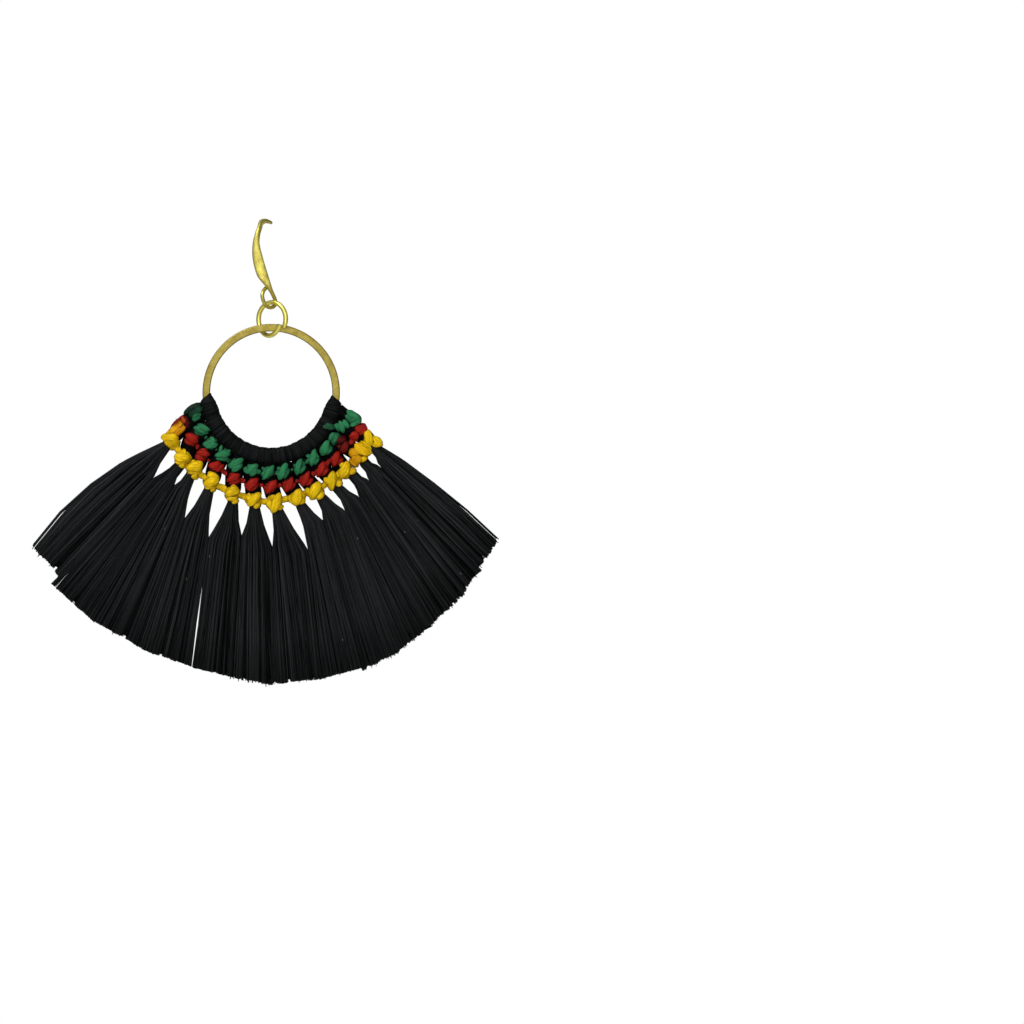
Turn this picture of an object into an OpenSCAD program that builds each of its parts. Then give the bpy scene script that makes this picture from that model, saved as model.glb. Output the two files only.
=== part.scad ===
// Tassel earring: an ear hook, a jump ring, and a hoop with a fan of thread bundles held in rows of knots.
// The origin is the seat inside the top of the hook's arch. Front is -Y, up is +Z, millimetres.

/* [Ear hook] */
// Diameter of the hook's wire
hook_wire_d = 0.85; // [0.7:0.05:0.95]
// Depth of the arch that passes through the ear, between wire centres
arch_d = 9.4; // [8:0.1:14]
// Height from the seat down to the wire of the loop, where the jump ring hangs
hook_h = 18.65; // [16:0.05:24]
// Sideways sweep of the arch and leaf
hook_sway = 4; // [2:0.1:6]
// Width of the flattened leaf at its widest
leaf_w = 2.3; // [1.6:0.1:4]
// Thickness of the flattened leaf
leaf_t = 0.6; // [0.4:0.05:0.8]
// Width of the turned loop, between wire centres
loop_w = 4.4; // [4.2:0.1:5.5]
// Angle of the loop's plane from the front plane
loop_turn = 52; // [45:1:60]

/* [Jump ring] */
// Diameter of the jump ring, between wire centres
ring_d = 7.3; // [6.8:0.1:9]
// Diameter of the jump ring's wire
ring_wire_d = 1.05; // [0.8:0.05:1.2]
// Angle of the jump ring's plane from the front plane
ring_turn = -33.5; // [-45:0.5:-30]
// How far the cut end of the jump ring is sprung to the front
ring_spring = 1.8; // [1.6:0.1:2.2]

/* [Hoop] */
// Outer diameter of the hoop
hoop_d = 30; // [26:0.5:50]
// Width of the hoop's flat band
hoop_band = 1.65; // [1.2:0.05:2.4]
// Thickness of the hoop's band
hoop_t = 1.1; // [0.8:0.05:1.4]

/* [Thread bundles] */
// Thread laid over the hoop's inner edge
wrap_in = 1.35; // [0.8:0.05:2]
// Thread laid under the hoop's outer edge
wrap_out = 0.7; // [0.6:0.05:1.2]
// Thread laid over each face of the hoop
wrap_face = 1.1; // [0.7:0.05:1.6]
// Diameter of a bundle inside the knots
core_d = 2; // [1.6:0.05:2.2]
// Width of a bundle's neck below the knots
neck_w = 2.3; // [2:0.05:2.6]
// Length of the fringe from the necks to the trimmed ends
fringe_l = 37.2; // [25:0.5:70]
// Thickness of the fringe at its fullest
fringe_t = 3.2; // [2.4:0.1:5]

/* [Knotted rows] */
// Height of a green knot
green_h = 2.9; // [2.4:0.1:3.6]
// Height of a red knot
red_h = 2.8; // [2.4:0.1:3.6]
// Height of a yellow knot
yellow_h = 3.6; // [2.8:0.1:4.4]
// Width of a knot
knot_w = 3.2; // [3:0.1:3.6]
// Thickness of the cord that runs from knot to knot
link_d = 1.1; // [0.8:0.1:1.6]

/* [Clearances] */
// Gap between the links of metal
metal_gap = 0.12; // [0.1:0.01:0.2]
// Gap between pieces of thread
thread_gap = 0.12; // [0.08:0.01:0.2]

/* [Hidden] */

BRASS = [0.78, 0.66, 0.3];
THREAD = [0.1, 0.1, 0.11];
GREEN = [0.16, 0.5, 0.32];
RED = [0.65, 0.12, 0.13];
YELLOW = [0.9, 0.76, 0.08];

// Columns of a hook row: sideways, depth and height as shares of hook_sway, arch_d and hook_h,
// then width and thickness, each as a share from round wire (0) to full leaf (1).
SIDE = 0;
DEPTH = 1;
HEIGHT = 2;
WIDE = 3;
FLAT = 4;
// From the tail's tip behind the ear, up over the arch and down the leaf.
HOOK_ROWS = [
    [-0.16, 0.64, -0.63, 0, 0],
    [-0.32, 0.55, -0.53, 0, 0],
    [-0.50, 0.51, -0.38, 0, 0],
    [-0.54, 0.50, -0.22, 0, 0],
    [-0.42, 0.49, -0.11, 0, 0],
    [-0.20, 0.46, -0.035, 0, 0],
    [0.10, 0.36, 0.000, 0, 0],
    [0.27, 0.20, 0.005, 0, 0],
    [0.18, 0.04, 0.018, 0, 0],
    [-0.02, -0.12, 0.022, 0, 0],
    [-0.20, -0.29, 0.001, 0, 0],
    [-0.29, -0.39, -0.055, 0, 0],
    [-0.40, -0.45, -0.13, 0.1, 0.1],
    [-0.49, -0.48, -0.235, 0.38, 0.5],
    [-0.47, -0.49, -0.335, 0.7, 0.9],
    [-0.40, -0.49, -0.43, 0.92, 1],
    [-0.29, -0.50, -0.525, 1, 1],
    [-0.14, -0.53, -0.62, 0.96, 1],
    [0.06, -0.565, -0.715, 0.6, 0.9],
    [0.28, -0.51, -0.80, 0.12, 0.3],
];
// Columns of a loop row: across and up in the loop's own plane and back from it, as shares of half of loop_w.
ACROSS = 0;
UP = 1;
BACK = 2;
LOOP_ROWS = [
    [0.72, 0.15, 0],
    [1.00, -0.34, 0],
    [0.89, -0.77, 0],
    [0.39, -0.99, 0],
    [-0.28, -0.90, 0],
    [-0.77, -0.47, 0],
    [-1.00, 0.10, 0],
    [-0.84, 0.62, 0.12],
    [-0.42, 0.98, 0.5],
];
// Place across the loop, as a share of half of loop_w, where the jump ring hangs.
HANG = 0.5;
// Height above the loop's centre of the wire at that place, in the same share.
HANG_UP = -0.96;

// Columns of an edge row, the line between two neighbouring bundles: angle of its crease on the hoop, angle
// where the bundles meet below the necks and its reach as a share of fringe_l, and angle at the trimmed ends.
CREASE = 0;
MEET = 1;
MEET_AT = 2;
TRIM = 3;
EDGES = [
    [180.5, 206.1, 0.25, 213.1],
    [204.0, 215.9, 0.14, 221.2],
    [213.0, 223.6, 0.085, 232.2],
    [228.0, 235.3, 0.20, 243.3],
    [240.6, 246.4, 0.215, 253.9],
    [251.0, 258.3, 0.15, 262.3],
    [261.0, 270.6, 0.21, 271.3],
    [273.8, 283.6, 0.255, 280.0],
    [288.5, 292.4, 0.10, 288.3],
    [297.5, 302.4, 0.105, 296.3],
    [306.7, 310.4, 0.085, 304.8],
    [316.0, 318.3, 0.06, 311.6],
    [326.7, 325.9, 0.063, 319.5],
    [339.5, 333.1, 0.17, 327.1],
];
// Crease at the far end of the last bundle, which is folded over the hoop twice.
LAST_CREASE = 357.4;

// Columns of a bundle row: angles where it passes the three rows of knots and at its neck, and how far its
// left and right edge reach before they are trimmed, as shares of fringe_l.
AT_GREEN = 0;
AT_RED = 1;
AT_YELLOW = 2;
AT_NECK = 3;
LEFT_END = 4;
RIGHT_END = 5;
BUNDLES = [
    [191.4, 199.3, 204.3, 206.8, 0.953, 0.943],
    [208.3, 210.7, 216.7, 218.6, 1.003, 0.998],
    [220.4, 222.1, 224.7, 226.0, 0.993, 0.976],
    [231.9, 233.0, 236.2, 237.6, 0.980, 0.968],
    [244.1, 246.2, 248.9, 250.9, 0.970, 0.983],
    [256.2, 258.6, 260.6, 261.9, 0.985, 1.000],
    [267.6, 270.0, 271.6, 273.0, 1.000, 1.000],
    [279.1, 281.2, 283.7, 284.9, 0.998, 0.995],
    [291.1, 292.0, 294.5, 295.7, 1.003, 0.987],
    [302.4, 303.9, 305.1, 304.9, 0.983, 0.946],
    [314.6, 314.3, 313.5, 314.7, 0.944, 0.924],
    [324.2, 324.5, 325.0, 323.0, 0.928, 0.901],
    [334.5, 334.7, 334.9, 331.8, 0.887, 0.879],
];
// The second fold of the last bundle passes its own green knot here.
SECOND_GREEN = 344;

// Radii, from the hoop's centre, of the places along a bundle
hoop_r = hoop_d / 2;
wrap_r = hoop_r + wrap_out;
green_r = wrap_r + thread_gap + green_h / 2;
red_r = green_r + thread_gap + (green_h + red_h) / 2;
yellow_r = red_r + thread_gap + (red_h + yellow_h) / 2;
neck_r = yellow_r + yellow_h / 2 + thread_gap;
trim_r = neck_r + fringe_l;

// Lines that hang under each other: the loop's wire, the jump ring, the hoop
// Sideways place of the jump ring's top and of the hoop, as shares of hook_sway
RING_SIDE = 0.375;
HOOP_SIDE = 0.33;
// Depth of the jump ring's top, as a share of arch_d
RING_DEPTH = -0.42;
hang_x = RING_SIDE * hook_sway;
ring_y = RING_DEPTH * arch_d;
loop_centre = [
    hang_x - HANG * loop_w / 2 * cos(loop_turn),
    ring_y - HANG * loop_w / 2 * sin(loop_turn),
    -hook_h - HANG_UP * loop_w / 2,
];
ring_z = -hook_h + (hook_wire_d + ring_wire_d) / 2 + metal_gap - ring_d / 2;
// Angles of the jump ring's two cut ends, which pass each other on the right, and of its lowest point
RING_FROM = -30;
RING_SWEEP = 371;
RING_LOW = 270;
// Angle after which the ring's wire is sprung to the front
SPRUNG_FROM = 185;
function sprung(a) =
    let (t = max(a - SPRUNG_FROM, 0) / (RING_FROM + RING_SWEEP - SPRUNG_FROM))
    ring_spring * t * t * (3 - 2 * t);
// The hoop's band settles a little behind the ring's lowest point
SEAT_BACK = 0.4;
drop_y = ring_y - sprung(RING_LOW) * cos(ring_turn) + SEAT_BACK;
// Play of the hoop on the jump ring, whose wire crosses the band at a slant
SLANT_PLAY = 0.27;
hoop_x = HOOP_SIDE * hook_sway;
hoop_z = ring_z - ring_d / 2 + ring_wire_d / 2 + metal_gap + SLANT_PLAY - hoop_r + hoop_band;

WIRE_SIDES = 10;
HOOK_STEPS = 2;
RING_STEPS = 36;
BUNDLE_SIDES = 16;
KNOT_SIDES = 8;
LINK_SIDES = 6;

function unit(v) = v / norm(v);
function mix(a, b, t) = a + (b - a) * t;
// Sine or cosine raised to a power below 1, which makes an ellipse fuller
function fuller(v, power) = sign(v) * pow(abs(v), power);
// Smooth curve through the rows of a table, worked out between rows b and c
function between(a, b, c, d, t) =
    (2 * b + (c - a) * t + (2 * a - 5 * b + 4 * c - d) * t * t + (3 * b - a - 3 * c + d) * t * t * t) / 2;
function smooth(rows, steps) = [
    for (i = [0 : len(rows) - 2], s = [0 : steps - 1])
        between(rows[max(i - 1, 0)], rows[i], rows[i + 1], rows[min(i + 2, len(rows) - 1)], s / steps),
    rows[len(rows) - 1],
];
// Side faces between rings of points, and the two ends
function skin(rings, sides) = [
    for (i = [0 : rings - 2], k = [0 : sides - 1])
        let (a = i * sides + k, b = i * sides + (k + 1) % sides)
        each [[a, b, b + sides], [a, b + sides, a + sides]],
];
// End face of a ring as a ladder between its two halves, so that a curved end stays clean
function ladder(first, sides, flip) = [
    for (k = [0 : sides / 2 - 1])
        let (
            rung = k == 0 ? [0, sides - 1, 1]
                : k == sides / 2 - 1 ? [k, k + 2, k + 1]
                : [k, sides - k, sides - k - 1, k + 1]
        )
        [for (i = [0 : len(rung) - 1]) first + rung[flip ? len(rung) - 1 - i : i]],
];

// Wire swept along rows of [x, y, z, width, thickness], whose width lies towards the vector across
WIDTH = 3;
THICK = 4;
module wire(rows, across, sides) {
    n = len(rows);
    points = [
        for (i = [0 : n - 1])
            let (
                here = [rows[i][0], rows[i][1], rows[i][2]],
                ahead = rows[min(i + 1, n - 1)] - rows[max(i - 1, 0)],
                along = unit([ahead[0], ahead[1], ahead[2]]),
                side = unit(across - (across * along) * along),
                face = cross(side, along)
            )
            for (k = [0 : sides - 1])
                let (a = k * 360 / sides)
                here + side * rows[i][WIDTH] / 2 * cos(a) + face * rows[i][THICK] / 2 * sin(a),
    ];
    polyhedron(points, concat(skin(n, sides), ladder(0, sides, false), ladder((n - 1) * sides, sides, true)));
}

module ear_hook() {
    leaf = [
        for (row = HOOK_ROWS) [
            row[SIDE] * hook_sway,
            row[DEPTH] * arch_d,
            row[HEIGHT] * hook_h,
            mix(hook_wire_d, leaf_w, row[WIDE]),
            mix(hook_wire_d, leaf_t, row[FLAT]),
        ],
    ];
    loop = [
        for (row = LOOP_ROWS) [
            loop_centre[0] + row[ACROSS] * loop_w / 2 * cos(loop_turn),
            loop_centre[1] + (row[ACROSS] * sin(loop_turn) + row[BACK]) * loop_w / 2,
            loop_centre[2] + row[UP] * loop_w / 2,
            hook_wire_d,
            hook_wire_d,
        ],
    ];
    color(BRASS) wire(smooth(concat(leaf, loop), HOOK_STEPS), [1, 0, 0], WIRE_SIDES);
}

module jump_ring() {
    rows = [
        for (i = [0 : RING_STEPS])
            let (
                a = RING_FROM + RING_SWEEP * i / RING_STEPS,
                across = ring_d / 2 * cos(a)
            )
            [
                hang_x + across * cos(ring_turn) + sprung(a) * sin(ring_turn),
                ring_y + across * sin(ring_turn) - sprung(a) * cos(ring_turn),
                ring_z + ring_d / 2 * sin(a),
                ring_wire_d,
                ring_wire_d,
            ],
    ];
    color(BRASS) wire(rows, [-sin(ring_turn), cos(ring_turn), 0], WIRE_SIDES);
}

// Rounded rectangle, the section of a band: from and to along the radius, and its half thickness
module band_section(from, to, half_t, corner) {
    for (r = [from + corner, to - corner], y = [corner - half_t, half_t - corner])
        translate([r, y]) circle(corner, $fn = 32);
    translate([from + corner, -half_t]) square([to - from - 2 * corner, 2 * half_t]);
    translate([from, corner - half_t]) square([to - from, 2 * (half_t - corner)]);
}

// Puts what is turned about Z round the hoop's own axis, with angles seen from the front
module on_hoop() {
    translate([hoop_x, drop_y, hoop_z]) rotate([90, 0, 0]) children();
}

HOOP_CORNER = 0.3;
ROUND = 120;
module hoop() {
    color(BRASS) on_hoop() rotate_extrude($fn = ROUND)
        band_section(hoop_r - hoop_band, hoop_r, hoop_t / 2, HOOP_CORNER);
}

// Place in the hoop's plane as [across, up] from its centre, and the point of it at a depth
function place(r, a) = r * [cos(a), sin(a)];
function seat(at, y) = [hoop_x + at[0], drop_y + y, hoop_z + at[1]];
function polar(r, a, y) = seat(place(r, a), y);
// Angle in degrees that a length along the arc takes at a radius, and the other way round
function arc(length, r) = length / r * 180 / PI;
function arc_length(angle, r) = angle * PI / 180 * r;
// Place on edge e at share t of the fringe's length, on the side (-1 or 1) of the bundle that has its neck at
// the angle neck. An edge runs straight to where the bundles meet, and straight on to the trimmed ends.
function edge_place(e, t, neck, side) =
    let (
        meet_at = EDGES[e][MEET_AT],
        meet_r = neck_r + meet_at * fringe_l,
        corner = place(neck_r, neck + side * arc(neck_w / 2, neck_r)),
        meet = place(meet_r, EDGES[e][MEET] - side * arc(thread_gap / 2, meet_r)),
        end = place(trim_r, EDGES[e][TRIM] - side * arc(thread_gap / 2, trim_r))
    )
    t < meet_at ? mix(corner, meet, t / meet_at) : mix(meet, end, (t - meet_at) / (1 - meet_at));

// Thickness of the fringe as a share of fringe_t, by the share of the way down
FULLEST_AT = 0.3;
END_SHARE = 0.62;
function fringe_share(t) =
    t < FULLEST_AT
        ? mix(neck_w / fringe_t, 1, sin(90 * t / FULLEST_AT))
        : mix(1, END_SHARE, (t - FULLEST_AT) / (1 - FULLEST_AT));

// Stations down the fan of bundle b: [left place, right place, half thickness]
APART = 0.02;
BELOW_MEETS = [0.3, 0.65, 1];
function fan_stations(b) =
    let (
        neck = BUNDLES[b][AT_NECK],
        meets = [EDGES[b][MEET_AT], EDGES[b + 1][MEET_AT]],
        first = min(meets),
        second = max(max(meets), first + APART)
    )
    [
        for (t = concat([0, first / 2, first, second], [for (share = BELOW_MEETS) mix(second, 1, share)]))
            [
                edge_place(b, t < 1 ? t : BUNDLES[b][LEFT_END], neck, -1),
                edge_place(b + 1, t < 1 ? t : BUNDLES[b][RIGHT_END], neck, 1),
                fringe_t / 2 * fringe_share(t),
            ],
    ];

// Middle line of bundle b from its fold through the three rows to its neck: [radius, angle]
FOLD_LEAD = 0.3;
function fold_middle(b) = (EDGES[b][CREASE] + (b + 1 < len(EDGES) ? EDGES[b + 1][CREASE] : LAST_CREASE)) / 2;
function path(b) =
    [
        [wrap_r + thread_gap, mix(fold_middle(b), BUNDLES[b][AT_GREEN], FOLD_LEAD)],
        [green_r, BUNDLES[b][AT_GREEN]],
        [red_r, BUNDLES[b][AT_RED]],
        [yellow_r, BUNDLES[b][AT_YELLOW]],
        [neck_r - thread_gap, BUNDLES[b][AT_NECK]],
    ];
paths = [for (b = [0 : len(BUNDLES) - 1]) path(b)];
leg_path = [
    [wrap_r + thread_gap, mix(fold_middle(len(BUNDLES)), SECOND_GREEN, FOLD_LEAD)],
    [green_r, SECOND_GREEN],
];

// Stations from inside the fold down a path: [left place, right place, half thickness]
INSIDE = 0.35;
FOLD_FULL = 1.2;
function station(r, a, half, half_t) =
    let (at = place(r, a), out = place(half, a + 90))
    [at - out, at + out, half_t];
function core_stations(fold_angle, fold_half, path) =
    concat(
        [station(wrap_r - INSIDE, fold_angle, fold_half, FOLD_FULL * core_d / 2)],
        [for (at = path) station(at[0], at[1], core_d / 2, core_d / 2)]
    );

// Depth of the grooves between locks as a share of the thickness, and the ragged ends with their two rhythms
RIDGE = 0.16;
RAG = 0.25;
RAG_STEP = 130;
RAG_SEED = 77;
// Powers that round the section above the necks and square it below them
ROUND_POWER = 1;
FLAT_POWER = 0.75;
// Bundle swept through its stations. Below the neck it has a ridge for each lock, and its end is ragged.
module strand_body(stations, from_ridge, seed) {
    n = len(stations);
    sides = BUNDLE_SIDES;
    points = [
        for (i = [0 : n - 1], k = [0 : sides - 1])
            let (
                a = k * 360 / sides,
                ridged = i >= from_ridge,
                ragged = ridged && i == n - 1,
                power = ridged ? FLAT_POWER : ROUND_POWER,
                across = (fuller(cos(a), power) + 1) / 2,
                depth = stations[i][2] * fuller(sin(a), power) * (ridged ? 1 - RIDGE * (k % 2) : 1),
                at = mix(stations[i][0], stations[i][1], across),
                above = mix(stations[max(i - 1, 0)][0], stations[max(i - 1, 0)][1], across),
                rag = RAG * sin(min(k, sides - k) * RAG_STEP + seed * RAG_SEED)
            )
            seat(ragged ? at + rag * unit(at - above) : at, depth),
    ];
    polyhedron(points, concat(skin(n, sides), ladder(0, sides, false), ladder((n - 1) * sides, sides, true)));
}

// Thread folded over the hoop between two creases
module fold(from, to) {
    gap = arc(thread_gap / 2, hoop_r);
    play = thread_gap / 2;
    half_t = hoop_t / 2 + wrap_face;
    on_hoop() rotate([0, 0, from + gap]) rotate_extrude(angle = to - from - 2 * gap, $fn = ROUND)
        difference() {
            band_section(hoop_r - hoop_band - wrap_in, wrap_r, half_t, wrap_face);
            band_section(hoop_r - hoop_band - play, hoop_r + play, hoop_t / 2 + play, HOOP_CORNER);
        }
}

// Outline that leaves an end fold pointed at the hoop's band. turn is 1 at the left end, -1 at the right end.
OUTER_SLANT = 9;
INNER_SLANT = 15;
CUT_TO = 45;
PAST = 2;
module pointed(crease, turn) {
    inner = hoop_r - hoop_band;
    outline = [
        [inner, 0],
        [wrap_r + PAST, OUTER_SLANT],
        [wrap_r + PAST, CUT_TO],
        [inner - wrap_in - PAST, CUT_TO],
        [inner - wrap_in - PAST, INNER_SLANT],
        [inner - wrap_in, INNER_SLANT],
    ];
    intersection() {
        children();
        on_hoop() translate([0, 0, -hoop_r / 2]) linear_extrude(hoop_r)
            polygon([for (p = outline) p[0] * [cos(crease + turn * p[1]), sin(crease + turn * p[1])]]);
    }
}

// Half width of a bundle where it leaves its fold, as a share of core_d, and its angle clear of a crease
LEAVES = 0.75;
CREASE_CLEAR = 1;
function leaving(from, to) = min(arc_length((to - from) / 2 - CREASE_CLEAR, wrap_r), LEAVES * core_d);

module tassel(b) {
    last = b == len(BUNDLES) - 1;
    from = EDGES[b][CREASE];
    to = EDGES[b + 1][CREASE];
    core = core_stations(fold_middle(b), leaving(from, to), paths[b]);
    color(THREAD) {
        if (b == 0) pointed(from, 1) fold(from, to);
        else if (last) pointed(LAST_CREASE, -1) fold(from, LAST_CREASE);
        else fold(from, to);
        strand_body(concat(core, fan_stations(b)), len(core), b);
        if (last) second_leg(to);
    }
}

// Second leg of the last bundle, from its fold through a green knot of its own, where it is tied off
LEG_PAST = 0.1;
module second_leg(from) {
    end_r = green_r + green_h / 2 + LEG_PAST;
    leg = core_stations(
        fold_middle(len(BUNDLES)), leaving(from, LAST_CREASE), concat(leg_path, [[end_r, SECOND_GREEN]])
    );
    strand_body(leg, len(leg), 0);
}

// A knot is a barrel with slanted ends round its bundle: [height, width] as shares of half of the knot's
SLANT = 0.22;
BARREL = [[-1, 0.78], [-0.38, 1], [0.38, 1], [1, 0.78]];
module knot(r, h, path) {
    sides = KNOT_SIDES;
    bore = (core_d / 2 + thread_gap) / cos(180 / sides);
    function ring(up, radius, slant) = [
        for (k = [0 : sides - 1])
            let (a = k * 360 / sides, here = r + up * (h / 2 - SLANT) + slant * cos(a))
            polar(here, lookup(here, path) + arc(radius * cos(a), here), radius * sin(a)),
    ];
    outside = [for (at = BARREL) ring(at[0], at[1] * knot_w / 2, SLANT)];
    rings = concat(outside, [for (up = [1, 0, -1]) ring(up, bore, 0)]);
    count = len(rings) * sides;
    closed = [for (face = skin(len(rings) + 1, sides)) [for (i = face) i % count]];
    polyhedron([for (points = rings) each points], closed);
}

// Cord from one knot's flank to the next one's, thinner where they stand close
module link(r, from, to) {
    bore = core_d / 2 + thread_gap;
    reach = min(bore + thread_gap + link_d / 2, arc_length(to - from, r) / 2);
    thick = min(link_d, 2 * (reach - bore));
    turn = arc(reach, r);
    hull() for (a = [from + turn, to - turn]) translate(polar(r, a, 0)) sphere(thick / 2, $fn = LINK_SIDES);
}

module knot_row(r, h, angles, paths) {
    for (i = [0 : len(angles) - 1]) knot(r, h, paths[i]);
    for (i = [0 : len(angles) - 2]) link(r, angles[i], angles[i + 1]);
}

module green_knot_cord() {
    angles = concat([for (row = BUNDLES) row[AT_GREEN]], [SECOND_GREEN]);
    color(GREEN) knot_row(green_r, green_h, angles, concat(paths, [leg_path]));
}

module red_knot_cord() {
    color(RED) knot_row(red_r, red_h, [for (row = BUNDLES) row[AT_RED]], paths);
}

module yellow_knot_cord() {
    color(YELLOW) knot_row(yellow_r, yellow_h, [for (row = BUNDLES) row[AT_YELLOW]], paths);
}

ear_hook();
jump_ring();
hoop();
tassel(0);  // tassel_01
tassel(1);  // tassel_02
tassel(2);  // tassel_03
tassel(3);  // tassel_04
tassel(4);  // tassel_05
tassel(5);  // tassel_06
tassel(6);  // tassel_07
tassel(7);  // tassel_08
tassel(8);  // tassel_09
tassel(9);  // tassel_10
tassel(10);  // tassel_11
tassel(11);  // tassel_12
tassel(12);  // tassel_13
green_knot_cord();
red_knot_cord();
yellow_knot_cord();
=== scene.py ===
"""Tassel earring: a brass ear hook, jump ring and hoop, and a fan of black thread bundles held in three
rows of coloured knots. Front is -Y, up is +Z, and the origin is the seat in the top of the hook's arch."""

import bpy
import numpy as np
from bpy.props import FloatProperty, FloatVectorProperty, IntProperty, PointerProperty
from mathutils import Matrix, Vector


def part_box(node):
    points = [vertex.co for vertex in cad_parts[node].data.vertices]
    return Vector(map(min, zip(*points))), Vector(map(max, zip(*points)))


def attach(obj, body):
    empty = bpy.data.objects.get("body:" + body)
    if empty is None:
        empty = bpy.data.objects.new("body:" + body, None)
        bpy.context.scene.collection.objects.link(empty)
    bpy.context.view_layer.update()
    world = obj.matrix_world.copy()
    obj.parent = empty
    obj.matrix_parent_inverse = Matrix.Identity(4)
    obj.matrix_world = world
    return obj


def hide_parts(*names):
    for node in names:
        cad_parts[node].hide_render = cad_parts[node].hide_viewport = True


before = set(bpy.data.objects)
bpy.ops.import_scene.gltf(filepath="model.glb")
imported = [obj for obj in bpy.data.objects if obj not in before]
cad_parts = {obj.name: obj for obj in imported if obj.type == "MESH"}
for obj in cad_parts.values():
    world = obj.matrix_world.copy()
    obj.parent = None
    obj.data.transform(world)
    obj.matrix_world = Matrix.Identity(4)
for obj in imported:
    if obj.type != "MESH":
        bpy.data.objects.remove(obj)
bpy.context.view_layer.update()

bl_info = {
    "name": "Tassel earring",
    "version": (1, 0, 0),
    "blender": (4, 5, 0),
    "location": "3D View > Sidebar > Tassel earring",
    "description": "Builds the brass findings, thread bundles and knotted rows of a tassel earring",
    "category": "Add Mesh",
}

MM = 0.001
FULL_TURN = 2 * np.pi
BACK_AXIS = np.array([0.0, 1.0, 0.0])

# Hoop, read from the frame: centre, outer radius and thickness
HOOP_LOW, HOOP_HIGH = (np.array(corner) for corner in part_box("hoop"))
HOOP_CENTRE = (HOOP_LOW + HOOP_HIGH) / 2
HOOP_R = (HOOP_HIGH[0] - HOOP_LOW[0]) / 2
HOOP_T = HOOP_HIGH[1] - HOOP_LOW[1]
HOOP_BAND = 1.65 * MM
HOOP_CORNER = 0.28 * MM

# Hook: sideways, depth and height as shares of its sway, arch and height, then width and thickness from
# round wire (0) to full leaf (1). From the tail's tip behind the ear, up over the arch and down the leaf.
HOOK_SWAY = 4 * MM
ARCH_D = 9.4 * MM
HOOK_H = 18.65 * MM
HOOK_WIRE_D = 0.85 * MM
LEAF_W = 2.3 * MM
LEAF_T = 0.6 * MM
HOOK_ROWS = [
    (-0.16, 0.64, -0.63, 0, 0), (-0.32, 0.55, -0.53, 0, 0), (-0.50, 0.51, -0.38, 0, 0),
    (-0.52, 0.50, -0.22, 0, 0), (-0.47, 0.49, -0.12, 0, 0), (-0.37, 0.47, -0.055, 0, 0),
    (-0.29, 0.44, -0.006, -0.1, 0.4), (-0.10, 0.38, 0.021, -0.1, 0.5), (0.12, 0.30, 0.015, -0.15, 0.8),
    (0.26, 0.20, 0.004, -0.16, 0.9),
    (0.17, 0.06, 0.015, -0.1, 0.5), (-0.05, -0.12, 0.025, -0.04, 0.2), (-0.26, -0.29, 0.004, -0.04, 0.2),
    (-0.33, -0.39, -0.055, -0.02, 0.1),
    (-0.42, -0.45, -0.13, 0.1, 0.1), (-0.49, -0.48, -0.235, 0.38, 0.5), (-0.47, -0.49, -0.335, 0.7, 0.9),
    (-0.40, -0.49, -0.43, 0.92, 1), (-0.29, -0.50, -0.525, 1, 1), (-0.14, -0.53, -0.62, 0.96, 1),
    (0.10, -0.565, -0.715, 0.5, 0.9), (0.30, -0.51, -0.80, 0.1, 0.3),
]
# Loop under the leaf: across and up in its own plane and back from it, as shares of half its width
LOOP_W = 4.4 * MM
LOOP_TURN = np.radians(52)
LOOP_ROWS = [
    (0.72, 0.15, 0), (1.00, -0.34, 0), (0.89, -0.77, 0), (0.39, -0.99, 0), (-0.28, -0.90, 0),
    (-0.77, -0.47, 0), (-1.00, 0.10, 0), (-0.84, 0.62, 0.12), (-0.42, 0.98, 0.5),
]
# Place on the loop where the jump ring hangs, in the same shares
HANG = (0.5, -0.96)

# Jump ring: angles of its cut ends, and how far one end is sprung to the front
RING_D = 7.3 * MM
RING_WIRE_D = 1.05 * MM
RING_TURN = np.radians(-33.5)
RING_SPRING = 1.8 * MM
RING_FROM = -30
RING_SWEEP = 368
SPRUNG_FROM = 185
RING_TOP = (1.5 * MM, -3.948 * MM)
METAL_GAP = 0.12 * MM

# Bundles of thread: radii from the hoop's centre, in the order hoop, fold, three rows of knots, neck, ends
WRAP_R = HOOP_R + 0.7 * MM
GREEN_R = 17.27 * MM
RED_R = 20.24 * MM
YELLOW_R = 23.56 * MM
NECK_R = 25.48 * MM
FRINGE_L = 37.2 * MM
TRIM_R = NECK_R + FRINGE_L
NECK_W = 2.3 * MM
CORE_D = 2 * MM
FRINGE_T = 3.2 * MM

# Edges between bundles: angle of the crease on the hoop, angle where the bundles meet below the necks and
# its share of the fringe's length, and angle at the trimmed ends
CREASE, MEET, MEET_AT, TRIM = range(4)
EDGES = [
    (180.5, 206.1, 0.25, 213.1), (204.0, 215.9, 0.165, 221.2), (213.0, 223.6, 0.107, 232.2),
    (228.0, 235.3, 0.211, 243.3), (240.6, 246.4, 0.24, 253.9), (251.0, 258.3, 0.171, 262.3),
    (261.0, 270.6, 0.222, 271.3), (273.8, 283.6, 0.266, 280.0), (288.5, 292.4, 0.122, 288.3),
    (297.5, 302.4, 0.129, 296.3), (306.7, 310.4, 0.112, 304.8), (316.0, 318.3, 0.077, 311.6),
    (326.7, 325.9, 0.073, 319.5), (339.5, 333.1, 0.17, 326.0),
]
LAST_CREASE = 357.4
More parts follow.
